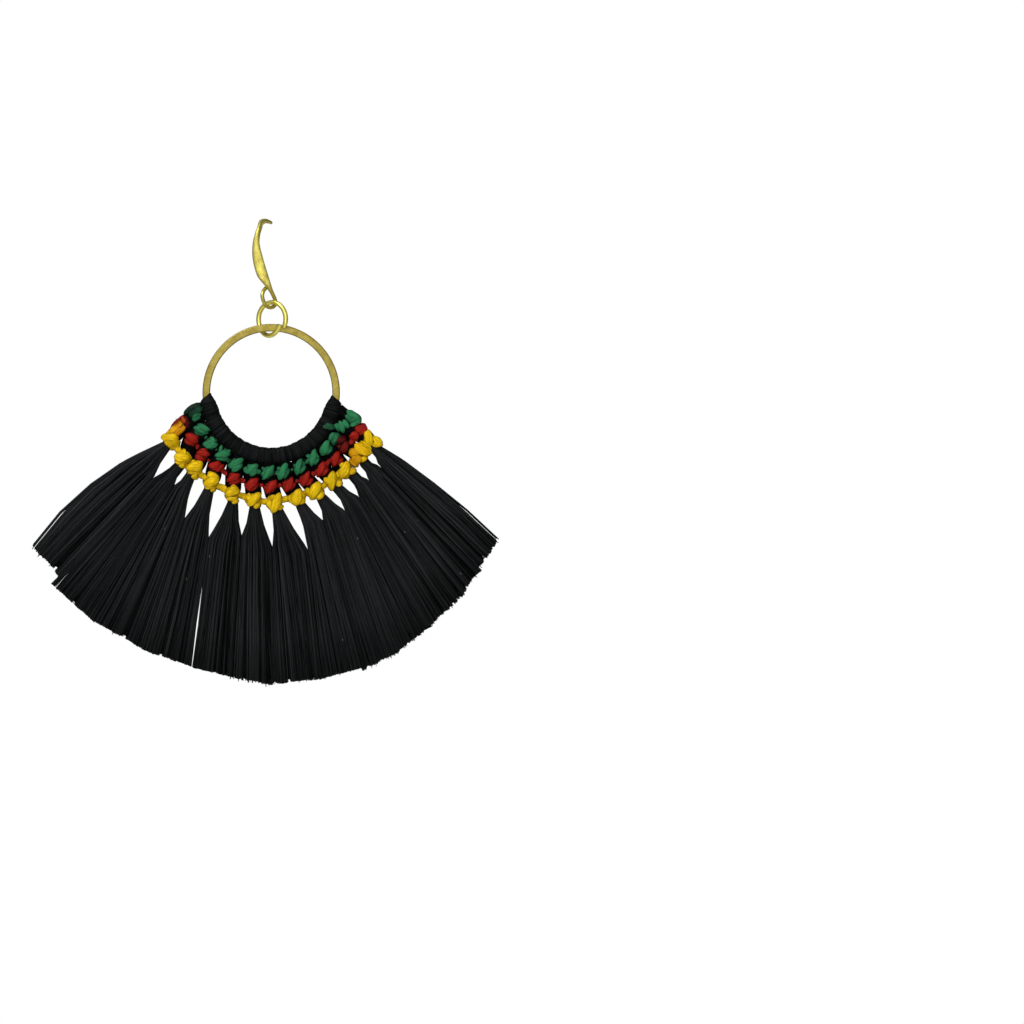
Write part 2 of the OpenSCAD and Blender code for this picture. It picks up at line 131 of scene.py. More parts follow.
# Bundles: angles at the three rows of knots and at the neck, then how far the left and right edge reach
# and how ragged the ends are
AT_GREEN, AT_RED, AT_YELLOW, AT_NECK, LEFT_END, RIGHT_END, RAGGED = range(7)
BUNDLES = [
    (191.4, 199.3, 204.3, 206.8, 0.953, 0.943, 0.5), (208.3, 210.7, 216.7, 218.6, 1.003, 0.998, 0.2),
    (220.4, 222.1, 224.7, 226.0, 0.993, 0.976, 0.15), (231.9, 233.0, 236.2, 237.6, 0.980, 0.968, 0.3),
    (244.1, 246.2, 248.9, 250.9, 0.970, 0.983, 0.4), (256.2, 258.6, 260.6, 261.9, 0.985, 1.000, 1.0),
    (267.6, 270.0, 271.6, 273.0, 1.000, 1.000, 0.3), (279.1, 281.2, 283.7, 284.9, 0.998, 0.995, 0.3),
    (291.1, 292.0, 294.5, 295.7, 1.003, 0.987, 0.8), (302.4, 303.9, 305.1, 304.9, 0.983, 0.946, 0.8),
    (314.6, 314.3, 313.5, 314.7, 0.944, 0.924, 1.0), (324.2, 324.5, 325.0, 323.0, 0.928, 0.901, 0.9),
    (334.5, 334.7, 334.9, 331.8, 0.887, 0.879, 0.9),
]
SECOND_GREEN = 344


def colour(name, description, default):
    """Colour setting of three channels from 0 to 1."""
    return FloatVectorProperty(
        name=name, description=description, subtype="COLOR", size=3, default=default, min=0, max=1)


class FindingsSettings(bpy.types.PropertyGroup):
    """Finish of the brass hook, ring and hoop"""

    wire_sides: IntProperty(name="Wire sides", description="Faces round the wire", default=20, min=8, max=48)
    polished: colour("Polished brass", "Colour of the hook", (0.68, 0.60, 0.135))
    bright: colour("Bright brass", "Colour of the jump ring", (0.96, 0.85, 0.18))
    aged: colour("Aged brass", "Colour of the hoop", (0.40, 0.33, 0.078))
    # Darker brass colour: tarnished streaks and patches blend towards it, and so does the painted shade along
    # the rims of the hoop and the leaf and over the leaf's lower half
    tarnish_and_shade: colour("Tarnish", "Colour of the darker streaks in the brass", (0.24, 0.17, 0.03))


class ThreadSettings(bpy.types.PropertyGroup):
    """Thread of the bundles"""

    thread_d: FloatProperty(
        name="Thread diameter", description="Diameter of one thread of the fringe",
        default=0.21 * MM, min=0.1 * MM, max=0.5 * MM, precision=5, unit="LENGTH")
    threads: IntProperty(
        name="Threads", description="Threads in one bundle", default=720, min=50, max=3000)
    fold_thread: FloatProperty(
        name="Fold thread", description="Pitch of the threads laid over the hoop",
        default=0.34 * MM, min=0.2 * MM, max=1 * MM, precision=5, unit="LENGTH")
    black: colour("Thread colour", "Colour of the thread", (0.0042, 0.0046, 0.0048))


class KnotSettings(bpy.types.PropertyGroup):
    """Floss of the knotted rows"""

    green: colour("Green", "Colour of the first row", (0.018, 0.150, 0.058))
    # Deep colours: what the painted shade in each row's hollows, rims and lap ends blends towards
    green_deep: colour("Deep green", "Colour in the hollows of the first row", (0.005, 0.013, 0.010))
    red: colour("Red", "Colour of the second row", (0.26, 0.008, 0.003))
    red_deep: colour("Deep red", "Colour in the hollows of the second row", (0.012, 0.0010, 0.0012))
    yellow: colour("Yellow", "Colour of the third row", (0.62, 0.40, 0.002))
    yellow_deep: colour("Deep yellow", "Colour in the hollows of the third row", (0.10, 0.036, 0.001))
    orange: colour("Orange", "Colour where the dyes of two rows ran together", (0.58, 0.19, 0.002))


class StageSettings(bpy.types.PropertyGroup):
    """Camera, lights and floor"""

    lens: FloatProperty(name="Lens", description="Focal length in millimetres", default=200, min=20, max=400)
    frame_w: FloatProperty(
        name="Frame width", description="Width of what the camera sees at the hoop",
        default=223.74 * MM, min=0.05, max=1, unit="LENGTH")
    key_power: FloatProperty(name="Key light", description="Power of the key light in watts", default=4.5)
    front_power: FloatProperty(
        name="Front light", description="Power of the wide light behind the camera in watts", default=7)
    room: FloatProperty(name="Room light", description="Strength of the light from all round", default=0.6)
    floor_z: FloatProperty(
        name="Floor height", description="Height of the floor under the held earring",
        default=-0.4, min=-2, max=-0.12, unit="LENGTH")


def unit(vectors):
    """Vectors divided by their lengths."""
    return vectors / np.linalg.norm(vectors, axis=-1, keepdims=True)


def mix(a, b, share):
    """Value on the straight line from a to b."""
    return a + (b - a) * share


def ease(share):
    """Smooth step: 3s^2 - 2s^3 of a share held between 0 and 1."""
    share = np.clip(share, 0, 1)
    return share * share * (3 - 2 * share)


def smooth(rows, steps):
    """Catmull-Rom curve through the rows of a table, with steps points for each stretch."""
    rows = np.asarray(rows, float)
    ends = np.concatenate([rows[:1], rows, rows[-1:]])
    a, b, c, d = (ends[i : len(ends) - 3 + i, None] for i in range(4))
    t = (np.arange(steps) / steps)[None, :, None]
    curve = (2 * b + (c - a) * t + (2 * a - 5 * b + 4 * c - d) * t**2 + (3 * b - a - 3 * c + d) * t**3) / 2
    return np.concatenate([curve.reshape(-1, rows.shape[1]), rows[-1:]])


def place(radius, angle):
    """Place across and up from the hoop's centre: radius times cosine and sine of an angle in degrees."""
    turn = np.radians(angle)
    return np.stack(np.broadcast_arrays(radius * np.cos(turn), radius * np.sin(turn)), -1)


def seat(flat, depth):
    """Point in space of a place across and up from the hoop's centre, at a depth behind the hoop's middle."""
    depth = np.broadcast_to(depth, flat.shape[:-1])
    return HOOP_CENTRE + np.stack([flat[..., 0], depth, flat[..., 1]], -1)


def arc(length, radius):
    """Angle in degrees that a length along the arc takes at a radius."""
    return np.degrees(length / radius)


def sweep(path, across, section):
    """Profile carried along a path: each section point is path + section[0] * side + section[1] * face, where
    side is the part of across that is square to the path, and face is square to both."""
    along = unit(np.gradient(path, axis=-2))
    side = unit(across - np.sum(across * along, -1, keepdims=True) * along)
    face = np.cross(side, along)
    return path[..., None, :] + section[..., :1] * side[..., None, :] + section[..., 1:] * face[..., None, :]


def round_turn(sides):
    """Angles of the points of a profile, once round."""
    return np.arange(sides) / sides * FULL_TURN


def quarter(vectors):
    """Flat vectors a quarter turn on: (x, y) becomes (-y, x)."""
    return np.stack([-vectors[..., 1], vectors[..., 0]], -1)


def shaded(shade):
    """Tint of this shade, with no warmth and no paleness."""
    return np.stack([shade, 0 * shade, 0 * shade], -1)


def ellipse(half_side, half_face, sides, power=1.0, roll=0.0):
    """Profile: cosine and sine of the angle round it, raised to a power below 1 to square it, and multiplied
    by the halves."""
    turn = round_turn(sides) + roll
    wave = np.stack([np.cos(turn), np.sin(turn)], -1)
    return np.sign(wave) * np.abs(wave) ** power * np.stack(
        np.broadcast_arrays(half_side, half_face), -1)[..., None, :]


class Surface:
    """Faces of one piece, gathered from grids of points. A grid is points[..., i, j], where i runs along and
    j runs round, and an axis before them is a batch of like grids. Texture places are millimetres along and
    turns round, and tint is shade, warmth and paleness."""

    def __init__(self):
        self.points = []
        self.tints = []
        self.faces = {3: [], 4: []}
        self.places = {3: [], 4: []}
        self.count = 0

    def grid(self, points, tint, along_closed=False, spin=1.0, crosswise=0.0):
        """Quads between neighbouring points, and a fan over each open end. Faces are turned round where the
        signed volume, a sixth of the sum of a . (b x c), comes out below zero. spin is the turns that the
        texture takes once round, and crosswise is the length round the grid in millimetres, where the thread
        runs round it."""
        rows, sides = points.shape[-3:-1]
        batch = points.reshape(-1, rows, sides, 3)
        ids = np.arange(batch[..., 0].size).reshape(batch.shape[:3])
        steps = np.linalg.norm(np.diff(batch.mean(2), axis=1), axis=-1) / MM
        along = np.concatenate([np.zeros((len(batch), 1)), np.cumsum(steps, 1)], 1)
        around = np.arange(sides + 1) / sides * spin
        ids = np.concatenate([ids, ids[:, :, :1]], 2)
        if along_closed:
            ids = np.concatenate([ids, ids[:, :1]], 1)
            along = np.concatenate([along, along[:, -1:] + steps[:, :1]], 1)
        where = np.stack(np.broadcast_arrays(along[:, :, None], around), -1)
        where[..., 1] += np.arange(len(batch))[:, None, None] * spin
        if crosswise:
            where = where[..., ::-1] * (crosswise, 1)
        corners = ((0, 0), (0, 1), (1, 1), (1, 0))
        high, wide = ids.shape[1] - 1, ids.shape[2] - 1
        quads = np.stack([ids[:, i : i + high, j : j + wide] for i, j in corners], -1).reshape(-1, 4)
        places = np.stack([where[:, i : i + high, j : j + wide] for i, j in corners], -2).reshape(-1, 4, 2)
        fans = np.zeros((0, 3), int)
        if not along_closed:
            first = np.stack([ids[:, 0, :1].repeat(sides - 2, 1), ids[:, 0, 2:-1], ids[:, 0, 1:-2]], -1)
            last = np.stack([ids[:, -1, :1].repeat(sides - 2, 1), ids[:, -1, 1:-2], ids[:, -1, 2:-1]], -1)
            fans = np.concatenate([first, last]).reshape(-1, 3)
        flat = batch.reshape(-1, 3)
        middle = flat - flat.mean(0)
        a, b, c, d = (middle[quads[:, k]] for k in range(4))
        volume = np.sum(a * np.cross(b, c)) + np.sum(a * np.cross(c, d))
        a, b, c = (middle[fans[:, k]] for k in range(3))
        if volume + np.sum(a * np.cross(b, c)) < 0:
            quads, places, fans = quads[:, ::-1], places[:, ::-1], fans[:, ::-1]
        self.points.append(flat)
        self.tints.append(np.broadcast_to(tint, batch.shape).reshape(-1, 3))
        self.faces[4].append(quads + self.count)
        self.faces[3].append(fans + self.count)
        self.places[4].append(places)
        self.places[3].append(np.zeros((len(fans), 3, 2)))
        self.count += len(flat)

    def piece(self, name, node, body, slot, material, sharp=None):
        """Mesh object of what was gathered, which stands for a node and rides on its body."""
        mesh = bpy.data.meshes.new(name)
        quads, fans = (np.concatenate(self.faces[size]) for size in (4, 3))
        corners = np.concatenate([quads.ravel(), fans.ravel()]).astype(np.int32)
        starts = np.concatenate([np.arange(len(quads)) * 4, quads.size + np.arange(len(fans)) * 3])
        mesh.vertices.add(self.count)
        mesh.vertices.foreach_set("co", np.concatenate(self.points).astype(np.float32).ravel())
        mesh.loops.add(len(corners))
        mesh.loops.foreach_set("vertex_index", corners)
        mesh.polygons.add(len(starts))
        mesh.polygons.foreach_set("loop_start", starts.astype(np.int32))
        mesh.update(calc_edges=True)
        places = np.concatenate([np.concatenate(self.places[size]).reshape(-1, 2) for size in (4, 3)])
        mesh.uv_layers.new(name="thread").data.foreach_set("uv", places.astype(np.float32).ravel())
        tint = mesh.attributes.new("tint", "FLOAT_VECTOR", "POINT")
        tint.data.foreach_set("vector", np.concatenate(self.tints).astype(np.float32).ravel())
        mesh.shade_smooth()
        if sharp:
            mesh.set_sharp_from_angle(angle=sharp)
        mesh.materials.append(material)
        mesh.validate()
        piece = bpy.data.objects.new(name, mesh)
        bpy.context.scene.collection.objects.link(piece)
        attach(piece, body)
        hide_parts(node)


class Socket:
    """Output of a material's node that takes part in Python arithmetic by adding Math nodes."""

    def __init__(self, shader, out):
        self.shader = shader
        self.out = out

    def __add__(self, other):
        return self.shader.math("ADD", self, other)

    def __sub__(self, other):
        return self.shader.math("SUBTRACT", self, other)

    def __rsub__(self, other):
        return self.shader.math("SUBTRACT", other, self)

    def __mul__(self, other):
        return self.shader.math("MULTIPLY", self, other)

    __radd__ = __add__
    __rmul__ = __mul__


class Shader:
    """Node tree of a material or the world, built by node() and by arithmetic on its sockets."""

    def __init__(self, owner):
        self.owner = owner
        owner.use_nodes = True
        self.tree = owner.node_tree
        self.tree.nodes.clear()

    def node(self, kind, inputs=None, settings=None, out=0):
        """Adds a node of a type, with its settings and its inputs by name or number, and gives one output."""
        node = self.tree.nodes.new(kind)
        for key, value in (settings or {}).items():
            setattr(node, key, value)
        for key, value in (inputs or {}).items():
            if isinstance(value, Socket):
                self.tree.links.new(value.out, node.inputs[key])
            else:
                node.inputs[key].default_value = value
        return Socket(self, node.outputs[out]) if node.outputs else None

    def math(self, operation, a, b):
        """Result of a Math node."""
        return self.node("ShaderNodeMath", {0: a, 1: b}, {"operation": operation})

    def clamp(self, value):
        """Value held between 0 and 1."""
        return self.node("ShaderNodeClamp", {"Value": value})

    def blend(self, share, a, b):
        """Colour between a and b."""
        a, b = (c if isinstance(c, Socket) else (*c, 1.0) for c in (a, b))
        return self.node("ShaderNodeMix", {0: share, 6: a, 7: b}, {"data_type": "RGBA"}, 2)

    def tint(self):
        """Shade, warmth and paleness of the piece's tint attribute."""
        vector = self.node("ShaderNodeAttribute", settings={"attribute_name": "tint"}, out="Vector")
        return [self.node("ShaderNodeSeparateXYZ", {0: vector}, out=i) for i in range(3)]

    def streaks(self, along, around, detail, rough=0.6):
        """Noise drawn out along the thread: along per millimetre, around per turn."""
        where = self.node("ShaderNodeUVMap", settings={"uv_map": "thread"})
        drawn = self.node("ShaderNodeMapping", {"Vector": where, "Scale": (along, around, 1)})
        return self.node(
            "ShaderNodeTexNoise", {"Vector": drawn, "Scale": 1, "Detail": detail, "Roughness": rough})

    def clouds(self, scale):
        """Noise in the piece's own space, with so many spots to a metre."""
        where = self.node("ShaderNodeTexCoord", out="Object")
        return self.node("ShaderNodeTexNoise", {"Vector": where, "Scale": scale, "Detail": 2})

    def finish(self, inputs, bump=None):
        """Principled surface, with a bump where its height, strength and distance are given."""
        if bump:
            inputs["Normal"] = self.node(
                "ShaderNodeBump", dict(zip(("Height", "Strength", "Distance"), bump)))
        surface = self.node("ShaderNodeBsdfPrincipled", inputs)
        self.node("ShaderNodeOutputMaterial", {"Surface": surface})
        return self.owner


# Spots to a metre in the cloudy noise that soft patches are made of
PATCHES = 900
# Black thread: its light and dark strands as shares of its colour, the dark end also serving as painted
# shade, and the colour of lint
LIGHT_STRAND = 9
DARK_STRAND = 0.15
LINT = (0.13, 0.14, 0.13)


def brass(name, colour, tarnish_and_shade, roughness, wear):
    """Brass drawn or brushed along its length: fine streaks turn the gloss, tarnished streaks and soft
    patches darken it, and painted shade from the tint darkens the rims."""
    shader = Shader(bpy.data.materials.new(name))
    # rim is the tint's first channel: painted shade along the rims of the hoop and the leaf and over the
    # leaf's lower half, plus an even darkening of the whole hook
    rim, _, _ = shader.tint()
    streaks = shader.streaks(0.5, 26, 4)
    patches = shader.clouds(PATCHES)
    shade = shader.clamp((streaks * 0.9 + patches * 0.9 - 0.75) * wear + rim)
    return shader.finish(
        {
            "Base Color": shader.blend(shade, colour, tarnish_and_shade),
            "Metallic": 1.0,
            "Roughness": shader.clamp(patches * 0.2 + (roughness - 0.1)),
        },
        (streaks, 0.35, 0.05 * MM))


def black_thread(settings):
    """Silky thread: filaments drawn along each thread, each a little lighter or darker, painted shade from
    the tint in the creases, the core and the filling, and pale lint.
    """
    shader = Shader(bpy.data.materials.new("black_thread"))
    shade, _, pale = shader.tint()
    filaments = shader.streaks(0.35, 9, 3)
    light = tuple(LIGHT_STRAND * c for c in settings.black)
    dark = tuple(DARK_STRAND * c for c in settings.black)
    lit = shader.blend(shader.clamp(shade * 0.85 + filaments * 0.65 - 0.40), dark, light)
    return shader.finish(
        {
            "Base Color": shader.blend(pale, lit, LINT),
            "Roughness": 0.46,
            "Specular IOR Level": 0.03,
        },
        (filaments, 0.25, 0.04 * MM))


def floss(name, colour, deep, warm):
    """Flat silky floss: filaments drawn along each lap, with painted shade in its hollows towards the deep
    colour, and darker on some laps as their table gives.
    """
    shader = Shader(bpy.data.materials.new(name))
    shade, warmth, _ = shader.tint()
    filaments = shader.streaks(0.5, 15, 4, 0.7)
    patches = shader.clouds(PATCHES)
    light = tuple(min(1, 1.6 * c + 0.008) for c in colour)
    dyed = shader.blend(warmth, tuple(colour), tuple(warm))
    bright = shader.blend(warmth, light, tuple(1.3 * c for c in warm))
    silk = shader.blend(shader.clamp(filaments * 4 + patches * 0.6 - 2.1), dyed, bright)
    # Painted shade: the tint's shade, mostly the darkness of the laps' hollows, rims, ends and lower levels,
    # blends towards the deep colour
    depth = shader.clamp(shade - filaments * 0.7 + patches * 0.4 + 0.12)
    return shader.finish(
        {
            "Base Color": shader.blend(depth, silk, tuple(deep)),
            "Roughness": 0.5,
            "Specular IOR Level": 0.07,
        },
        (filaments, 0.8, 0.1 * MM))


def hook_path():
    """Rows of place, width and thickness along the hook: the leaf's table and the loop's, on one curve."""
    leaf = np.array(HOOK_ROWS) * [HOOK_SWAY, ARCH_D, HOOK_H, LEAF_W - HOOK_WIRE_D, LEAF_T - HOOK_WIRE_D]
    leaf += [0, 0, 0, HOOK_WIRE_D, HOOK_WIRE_D]
    across, up, back = np.array(LOOP_ROWS).T * LOOP_W / 2
    ring_x, ring_y = RING_TOP
    centre = (
        ring_x - HANG[0] * LOOP_W / 2 * np.cos(LOOP_TURN),
        ring_y - HANG[0] * LOOP_W / 2 * np.sin(LOOP_TURN),
        -HOOK_H - HANG[1] * LOOP_W / 2,
    )
    loop = np.stack([
        centre[0] + across * np.cos(LOOP_TURN),
        centre[1] + across * np.sin(LOOP_TURN) + back,
        centre[2] + up,
        np.full(len(up), HOOK_WIRE_D),
        np.full(len(up), HOOK_WIRE_D),
    ], -1)
    return smooth(np.concatenate([leaf, loop]), 10)


# Hammered leaf: flats round it, how deep they are cut, and how far its profile is squared
FLATS = 4
FLAT_DEPTH = 0.04
SQUARED = 0.3
# Tarnished tone of the whole wire, then painted shade along the leaf's rims and over the leaf's lower half
WIRE_SHADE = 0.1
RIM_SHADE = 0.4
LOW_SHADE = 0.35


def hook_surface(sides):
    """Wire swept along the hook. The leaf is hammered: flats run along it where the profile is squared."""
    rows = hook_path()
    width, thick = rows[:, 3], rows[:, 4]
    flat = ease((width - HOOK_WIRE_D) / (LEAF_W - HOOK_WIRE_D))
    section = ellipse(width / 2, thick / 2, sides, 1 - SQUARED * flat[:, None, None])
    turn = round_turn(sides)
    ridges = 1 + FLAT_DEPTH * flat[:, None] * np.cos(FLATS * turn)
    # Painted shade: the leaf's rims and its lower half are darkened in the tint, over the wire's even tone
    low = ease((-rows[:, 2] / HOOK_H - 0.5) / 0.25)
    rim = flat[:, None] * (RIM_SHADE * np.cos(turn) ** 16 + LOW_SHADE * low[:, None]) + WIRE_SHADE
    surface = Surface()
    surface.grid(
        sweep(rows[:, :3], np.array([1.0, 0, 0]), section * ridges[..., None]), shaded(rim))
    return surface


RING_STEPS = 96


def ring_surface(sides):
    """Round wire on a circle whose one end is sprung to the front by an ease of the angle."""
    angle = RING_FROM + RING_SWEEP * np.linspace(0, 1, RING_STEPS + 1)
    sprung = RING_SPRING * ease((angle - SPRUNG_FROM) / (RING_FROM + RING_SWEEP - SPRUNG_FROM))
    across, up = place(RING_D / 2, angle).T
    top = -HOOK_H + (HOOK_WIRE_D + RING_WIRE_D) / 2 + METAL_GAP
    path = np.stack([
        RING_TOP[0] + across * np.cos(RING_TURN) + sprung * np.sin(RING_TURN),
        RING_TOP[1] + across * np.sin(RING_TURN) - sprung * np.cos(RING_TURN),
        top - RING_D / 2 + up,
    ], -1)
    axis = np.array([-np.sin(RING_TURN), np.cos(RING_TURN), 0])
    surface = Surface()
    half = np.full(len(path), RING_WIRE_D / 2)
    surface.grid(sweep(path, axis, ellipse(half, half, sides)), (0, 0, 0))
    return surface


# Hoop: points round its band and along it, painted shade along its rims, and how much darker its outer side
# is
BAND_SIDES = 40
HOOP_STEPS = 240
BAND_RIM_SHADE = 0.6
OUTER_SHADE = 0.3


def hoop_surface():
    """Flat band with rounded corners turned round the hoop's axis: a rounded rectangle on a circle."""
    turn = round_turn(BAND_SIDES) + FULL_TURN / BAND_SIDES / 2
    wave = np.stack([np.cos(turn), np.sin(turn)], -1)
    straight = np.array([HOOP_BAND, HOOP_T]) / 2 - HOOP_CORNER
    section = np.sign(wave) * straight + wave * HOOP_CORNER
    angle = np.linspace(0, 360, HOOP_STEPS, endpoint=False)[:, None]
    radius = HOOP_R - HOOP_BAND / 2 + section[:, 0]
    outward = section[:, 0] * 2 / HOOP_BAND
    # Painted shade along the band's rounded rims, and a darkening towards its outer side
    rim = BAND_RIM_SHADE * ease(4 * (np.abs(outward) - 0.75)) + OUTER_SHADE * ease(0.4 + outward)
    surface = Surface()
    surface.grid(seat(place(radius, angle), section[:, 1]), shaded(rim), along_closed=True, spin=0.8)
    return surface


# Rounding of the corner where two bundles meet and of the fan's own sides, as shares of the fringe's length
CORNER = 0.03
OUTER_CORNER = 0.13
# How far the fan's left and right side bow out between the neck and the trimmed end, and how far the other
# lines dip in below the neck
BOWS = {0: 2.2 * MM, len(EDGES) - 1: 1.0 * MM}
NECK_DIP = 0.36 * MM


def edge(row, share, neck, side, overlap):
    """Place on the line between two bundles at a share of the fringe's length, where it may lie a little over
    the line, and the place on the straight line from the neck's corner to the trimmed end. The first runs
    straight to where the bundles meet and straight on: the mean slope, and half their difference times the
    root of the squared distance from the corner and its rounding squared. The fan's two sides bow out by a
    sine, and the others dip in by one below the neck."""
    meet_at = EDGES[row][MEET_AT]
    meet_r = NECK_R + meet_at * FRINGE_L
    corner = place(NECK_R, neck + side * arc(NECK_W / 2, NECK_R))
    meet = place(meet_r, EDGES[row][MEET] + side * arc(overlap, meet_r))
    end = place(TRIM_R, EDGES[row][TRIM] + side * arc(overlap, TRIM_R))
    share = np.asarray(share)[..., None]
    before, after = (meet - corner) / meet_at, (end - meet) / (1 - meet_at)
    past = share - meet_at
    corner_r = OUTER_CORNER if row in BOWS else CORNER
    bent = meet + (before + after) / 2 * past + (after - before) / 2 * np.sqrt(past**2 + corner_r**2)
    if row in BOWS:
        bow = side * BOWS[row] * np.sin(np.pi * np.clip(share, 0, 1) ** 1.2)
    else:
        bow = -side * NECK_DIP * np.sin(np.pi * np.clip(share / meet_at, 0, 1))
    return bent + bow * quarter(unit(end - corner)), mix(corner, end, share)


# Partings in the fringe: bundle, place across it, share of the length where it starts, width in millimetres
PARTINGS = np.array([
    (0, 0.035, 0.50, 0.42), (1, 0.075, 0.86, 0.90), (3, 1.02, 0.40, 0.70), (4, -0.02, 0.40, 0.70),
    (3, 0.93, 0.85, 0.16), (12, 0.975, 0.45, 0.60), (12, 0.935, 0.60, 0.45), (12, 0.88, 0.70, 0.25),
])


# Share of the fringe's length where it is fullest, and its thickness at the ends as a share of the fullest
FULLEST_AT = 0.3
END_SHARE = 0.62


def fringe_half(share):
    """Half thickness of the fringe: a sine from the neck to the fullest place, then a straight taper."""
    swell = mix(NECK_W / FRINGE_T, 1, np.sin(np.pi / 2 * np.clip(share / FULLEST_AT, 0, 1)))
    taper = mix(1, END_SHARE, (share - FULLEST_AT) / (1 - FULLEST_AT))
    return FRINGE_T / 2 * np.where(share < FULLEST_AT, swell, taper)


# Locks that the threads gather into, and finer wisps: width, how uneven it is, how many wisps go to a lock,
# the depth of the hollows between them, and how far a lock is lifted, drifts sideways and is cut off line
LOCK_W = 2.1 * MM
LOCK_UNEVEN = (0.6, 1.4)
WISPS = 2.2
LOCK_DEPTH = 0.62 * MM
WISP_DEPTH = 0.36 * MM
LOCK_LIFT = 0.25 * MM
LOCK_DRIFT = 0.3 * MM
LOCK_TRIM = 0.12 * MM
# How light a lock is, how much darker a thread is at a wisp's sides than at its middle, as painted shade in
# the creases between wisps, and how much a thread differs at random
LOCK_TONE = (0.34, 0.5)
WISP_SHADE = 0.3
THREAD_TONE = 0.3
# Share of the way to its lock's middle that a thread is gathered, and how much of it is lost at the ends
GATHER = 0.13
GATHER_LOSS = 0.85

# Layers that the threads are dealt to: -1 is behind, 1 in front, and 0 within, up to a share of the depth
LAYERS = (-1, -1, -1, 1, 1, 1, 1, 0)
WITHIN = 0.7
# How far a thread behind or in front is sunk at most
SUNK = 0.4 * MM
# Fractional part of the golden ratio, which deals the threads evenly over the width
GOLDEN = 0.6180339887
# Sideways drift of a thread, the share of stray ones and theirs, and the height of a thread's slow wave
THREAD_DRIFT = 0.16 * MM
STRAY_SHARE = 0.05
STRAY_DRIFT = 0.8 * MM
WAVE = 0.09 * MM
# How little the two side threads of a bundle drift
SIDE_HOLD = 0.92
# How far the push of a parting reaches, as a share of the width
PUSH_REACH = 0.12
# Width of a thread in the neck as a share of its width below
NECK_THREAD = 0.7
# Length by which the threads pass the trimmed line, how far a thread's end strays in an even bundle and more
# in a ragged one, the share of overlong threads and their length, and how far a wisp's end strays
TRIM_SPARE = 0.75 * MM
RAG = 0.05 * MM
MORE_RAG = 0.12 * MM
OVERLONG_SHARE = 0.02
OVERLONG = (0.2 * MM, 0.7 * MM)
WISP_RAG = 0.16 * MM
# Flecks of lint on a bundle, where they start along the fringe, their length, and how far they stand off
FLECKS = 2
FLECK_FROM = (0.3, 0.95)
FLECK_L = 0.012
FLECK_OUT = 0.25 * MM


def lock_bounds(count, rng):
    """Places from 0 to 1 that part the fringe into locks of uneven width."""
    widths = rng.uniform(*LOCK_UNEVEN, count)
    return np.concatenate([[0], np.cumsum(widths) / widths.sum()])


def in_lock(across, bounds):
    """Number of the lock that a place lies in, and its place there from -1 to 1."""
    lock = np.clip(np.searchsorted(bounds, across) - 1, 0, len(bounds) - 2)
    low, high = bounds[lock], bounds[lock + 1]
    return lock, 2 * (across - low) / (high - low) - 1


def fringe_stations(b):
    """Shares of the fringe's length at which a thread turns: by the neck, where bundles meet, and below."""
    first, second = sorted((EDGES[b][MEET_AT], EDGES[b + 1][MEET_AT]))
    second = max(second, first + 0.03)
    low = second + 0.05
    return np.array([-0.035, 0, first * 0.55, first, second, low, mix(low, 1, 0.3), mix(low, 1, 0.65), 1])


def fringe_lines(b, share, overlap=0.0):
    """Bent and straight lines of a bundle's left and right side, at shares of its length."""
    neck = BUNDLES[b][AT_NECK]
    return [edge(b + k, share, neck, 2 * k - 1, overlap) for k in (0, 1)]


def spread(lines, held):
    """Place between two sides: even between the straight lines, and near each side drawn to its bent line."""
    (left, left_line), (right, right_line) = lines
    held = held[..., None]
    flat = mix(left_line, right_line, held)
    return flat + (left - left_line) * (1 - held) ** 1.8 + (right - right_line) * held**1.8


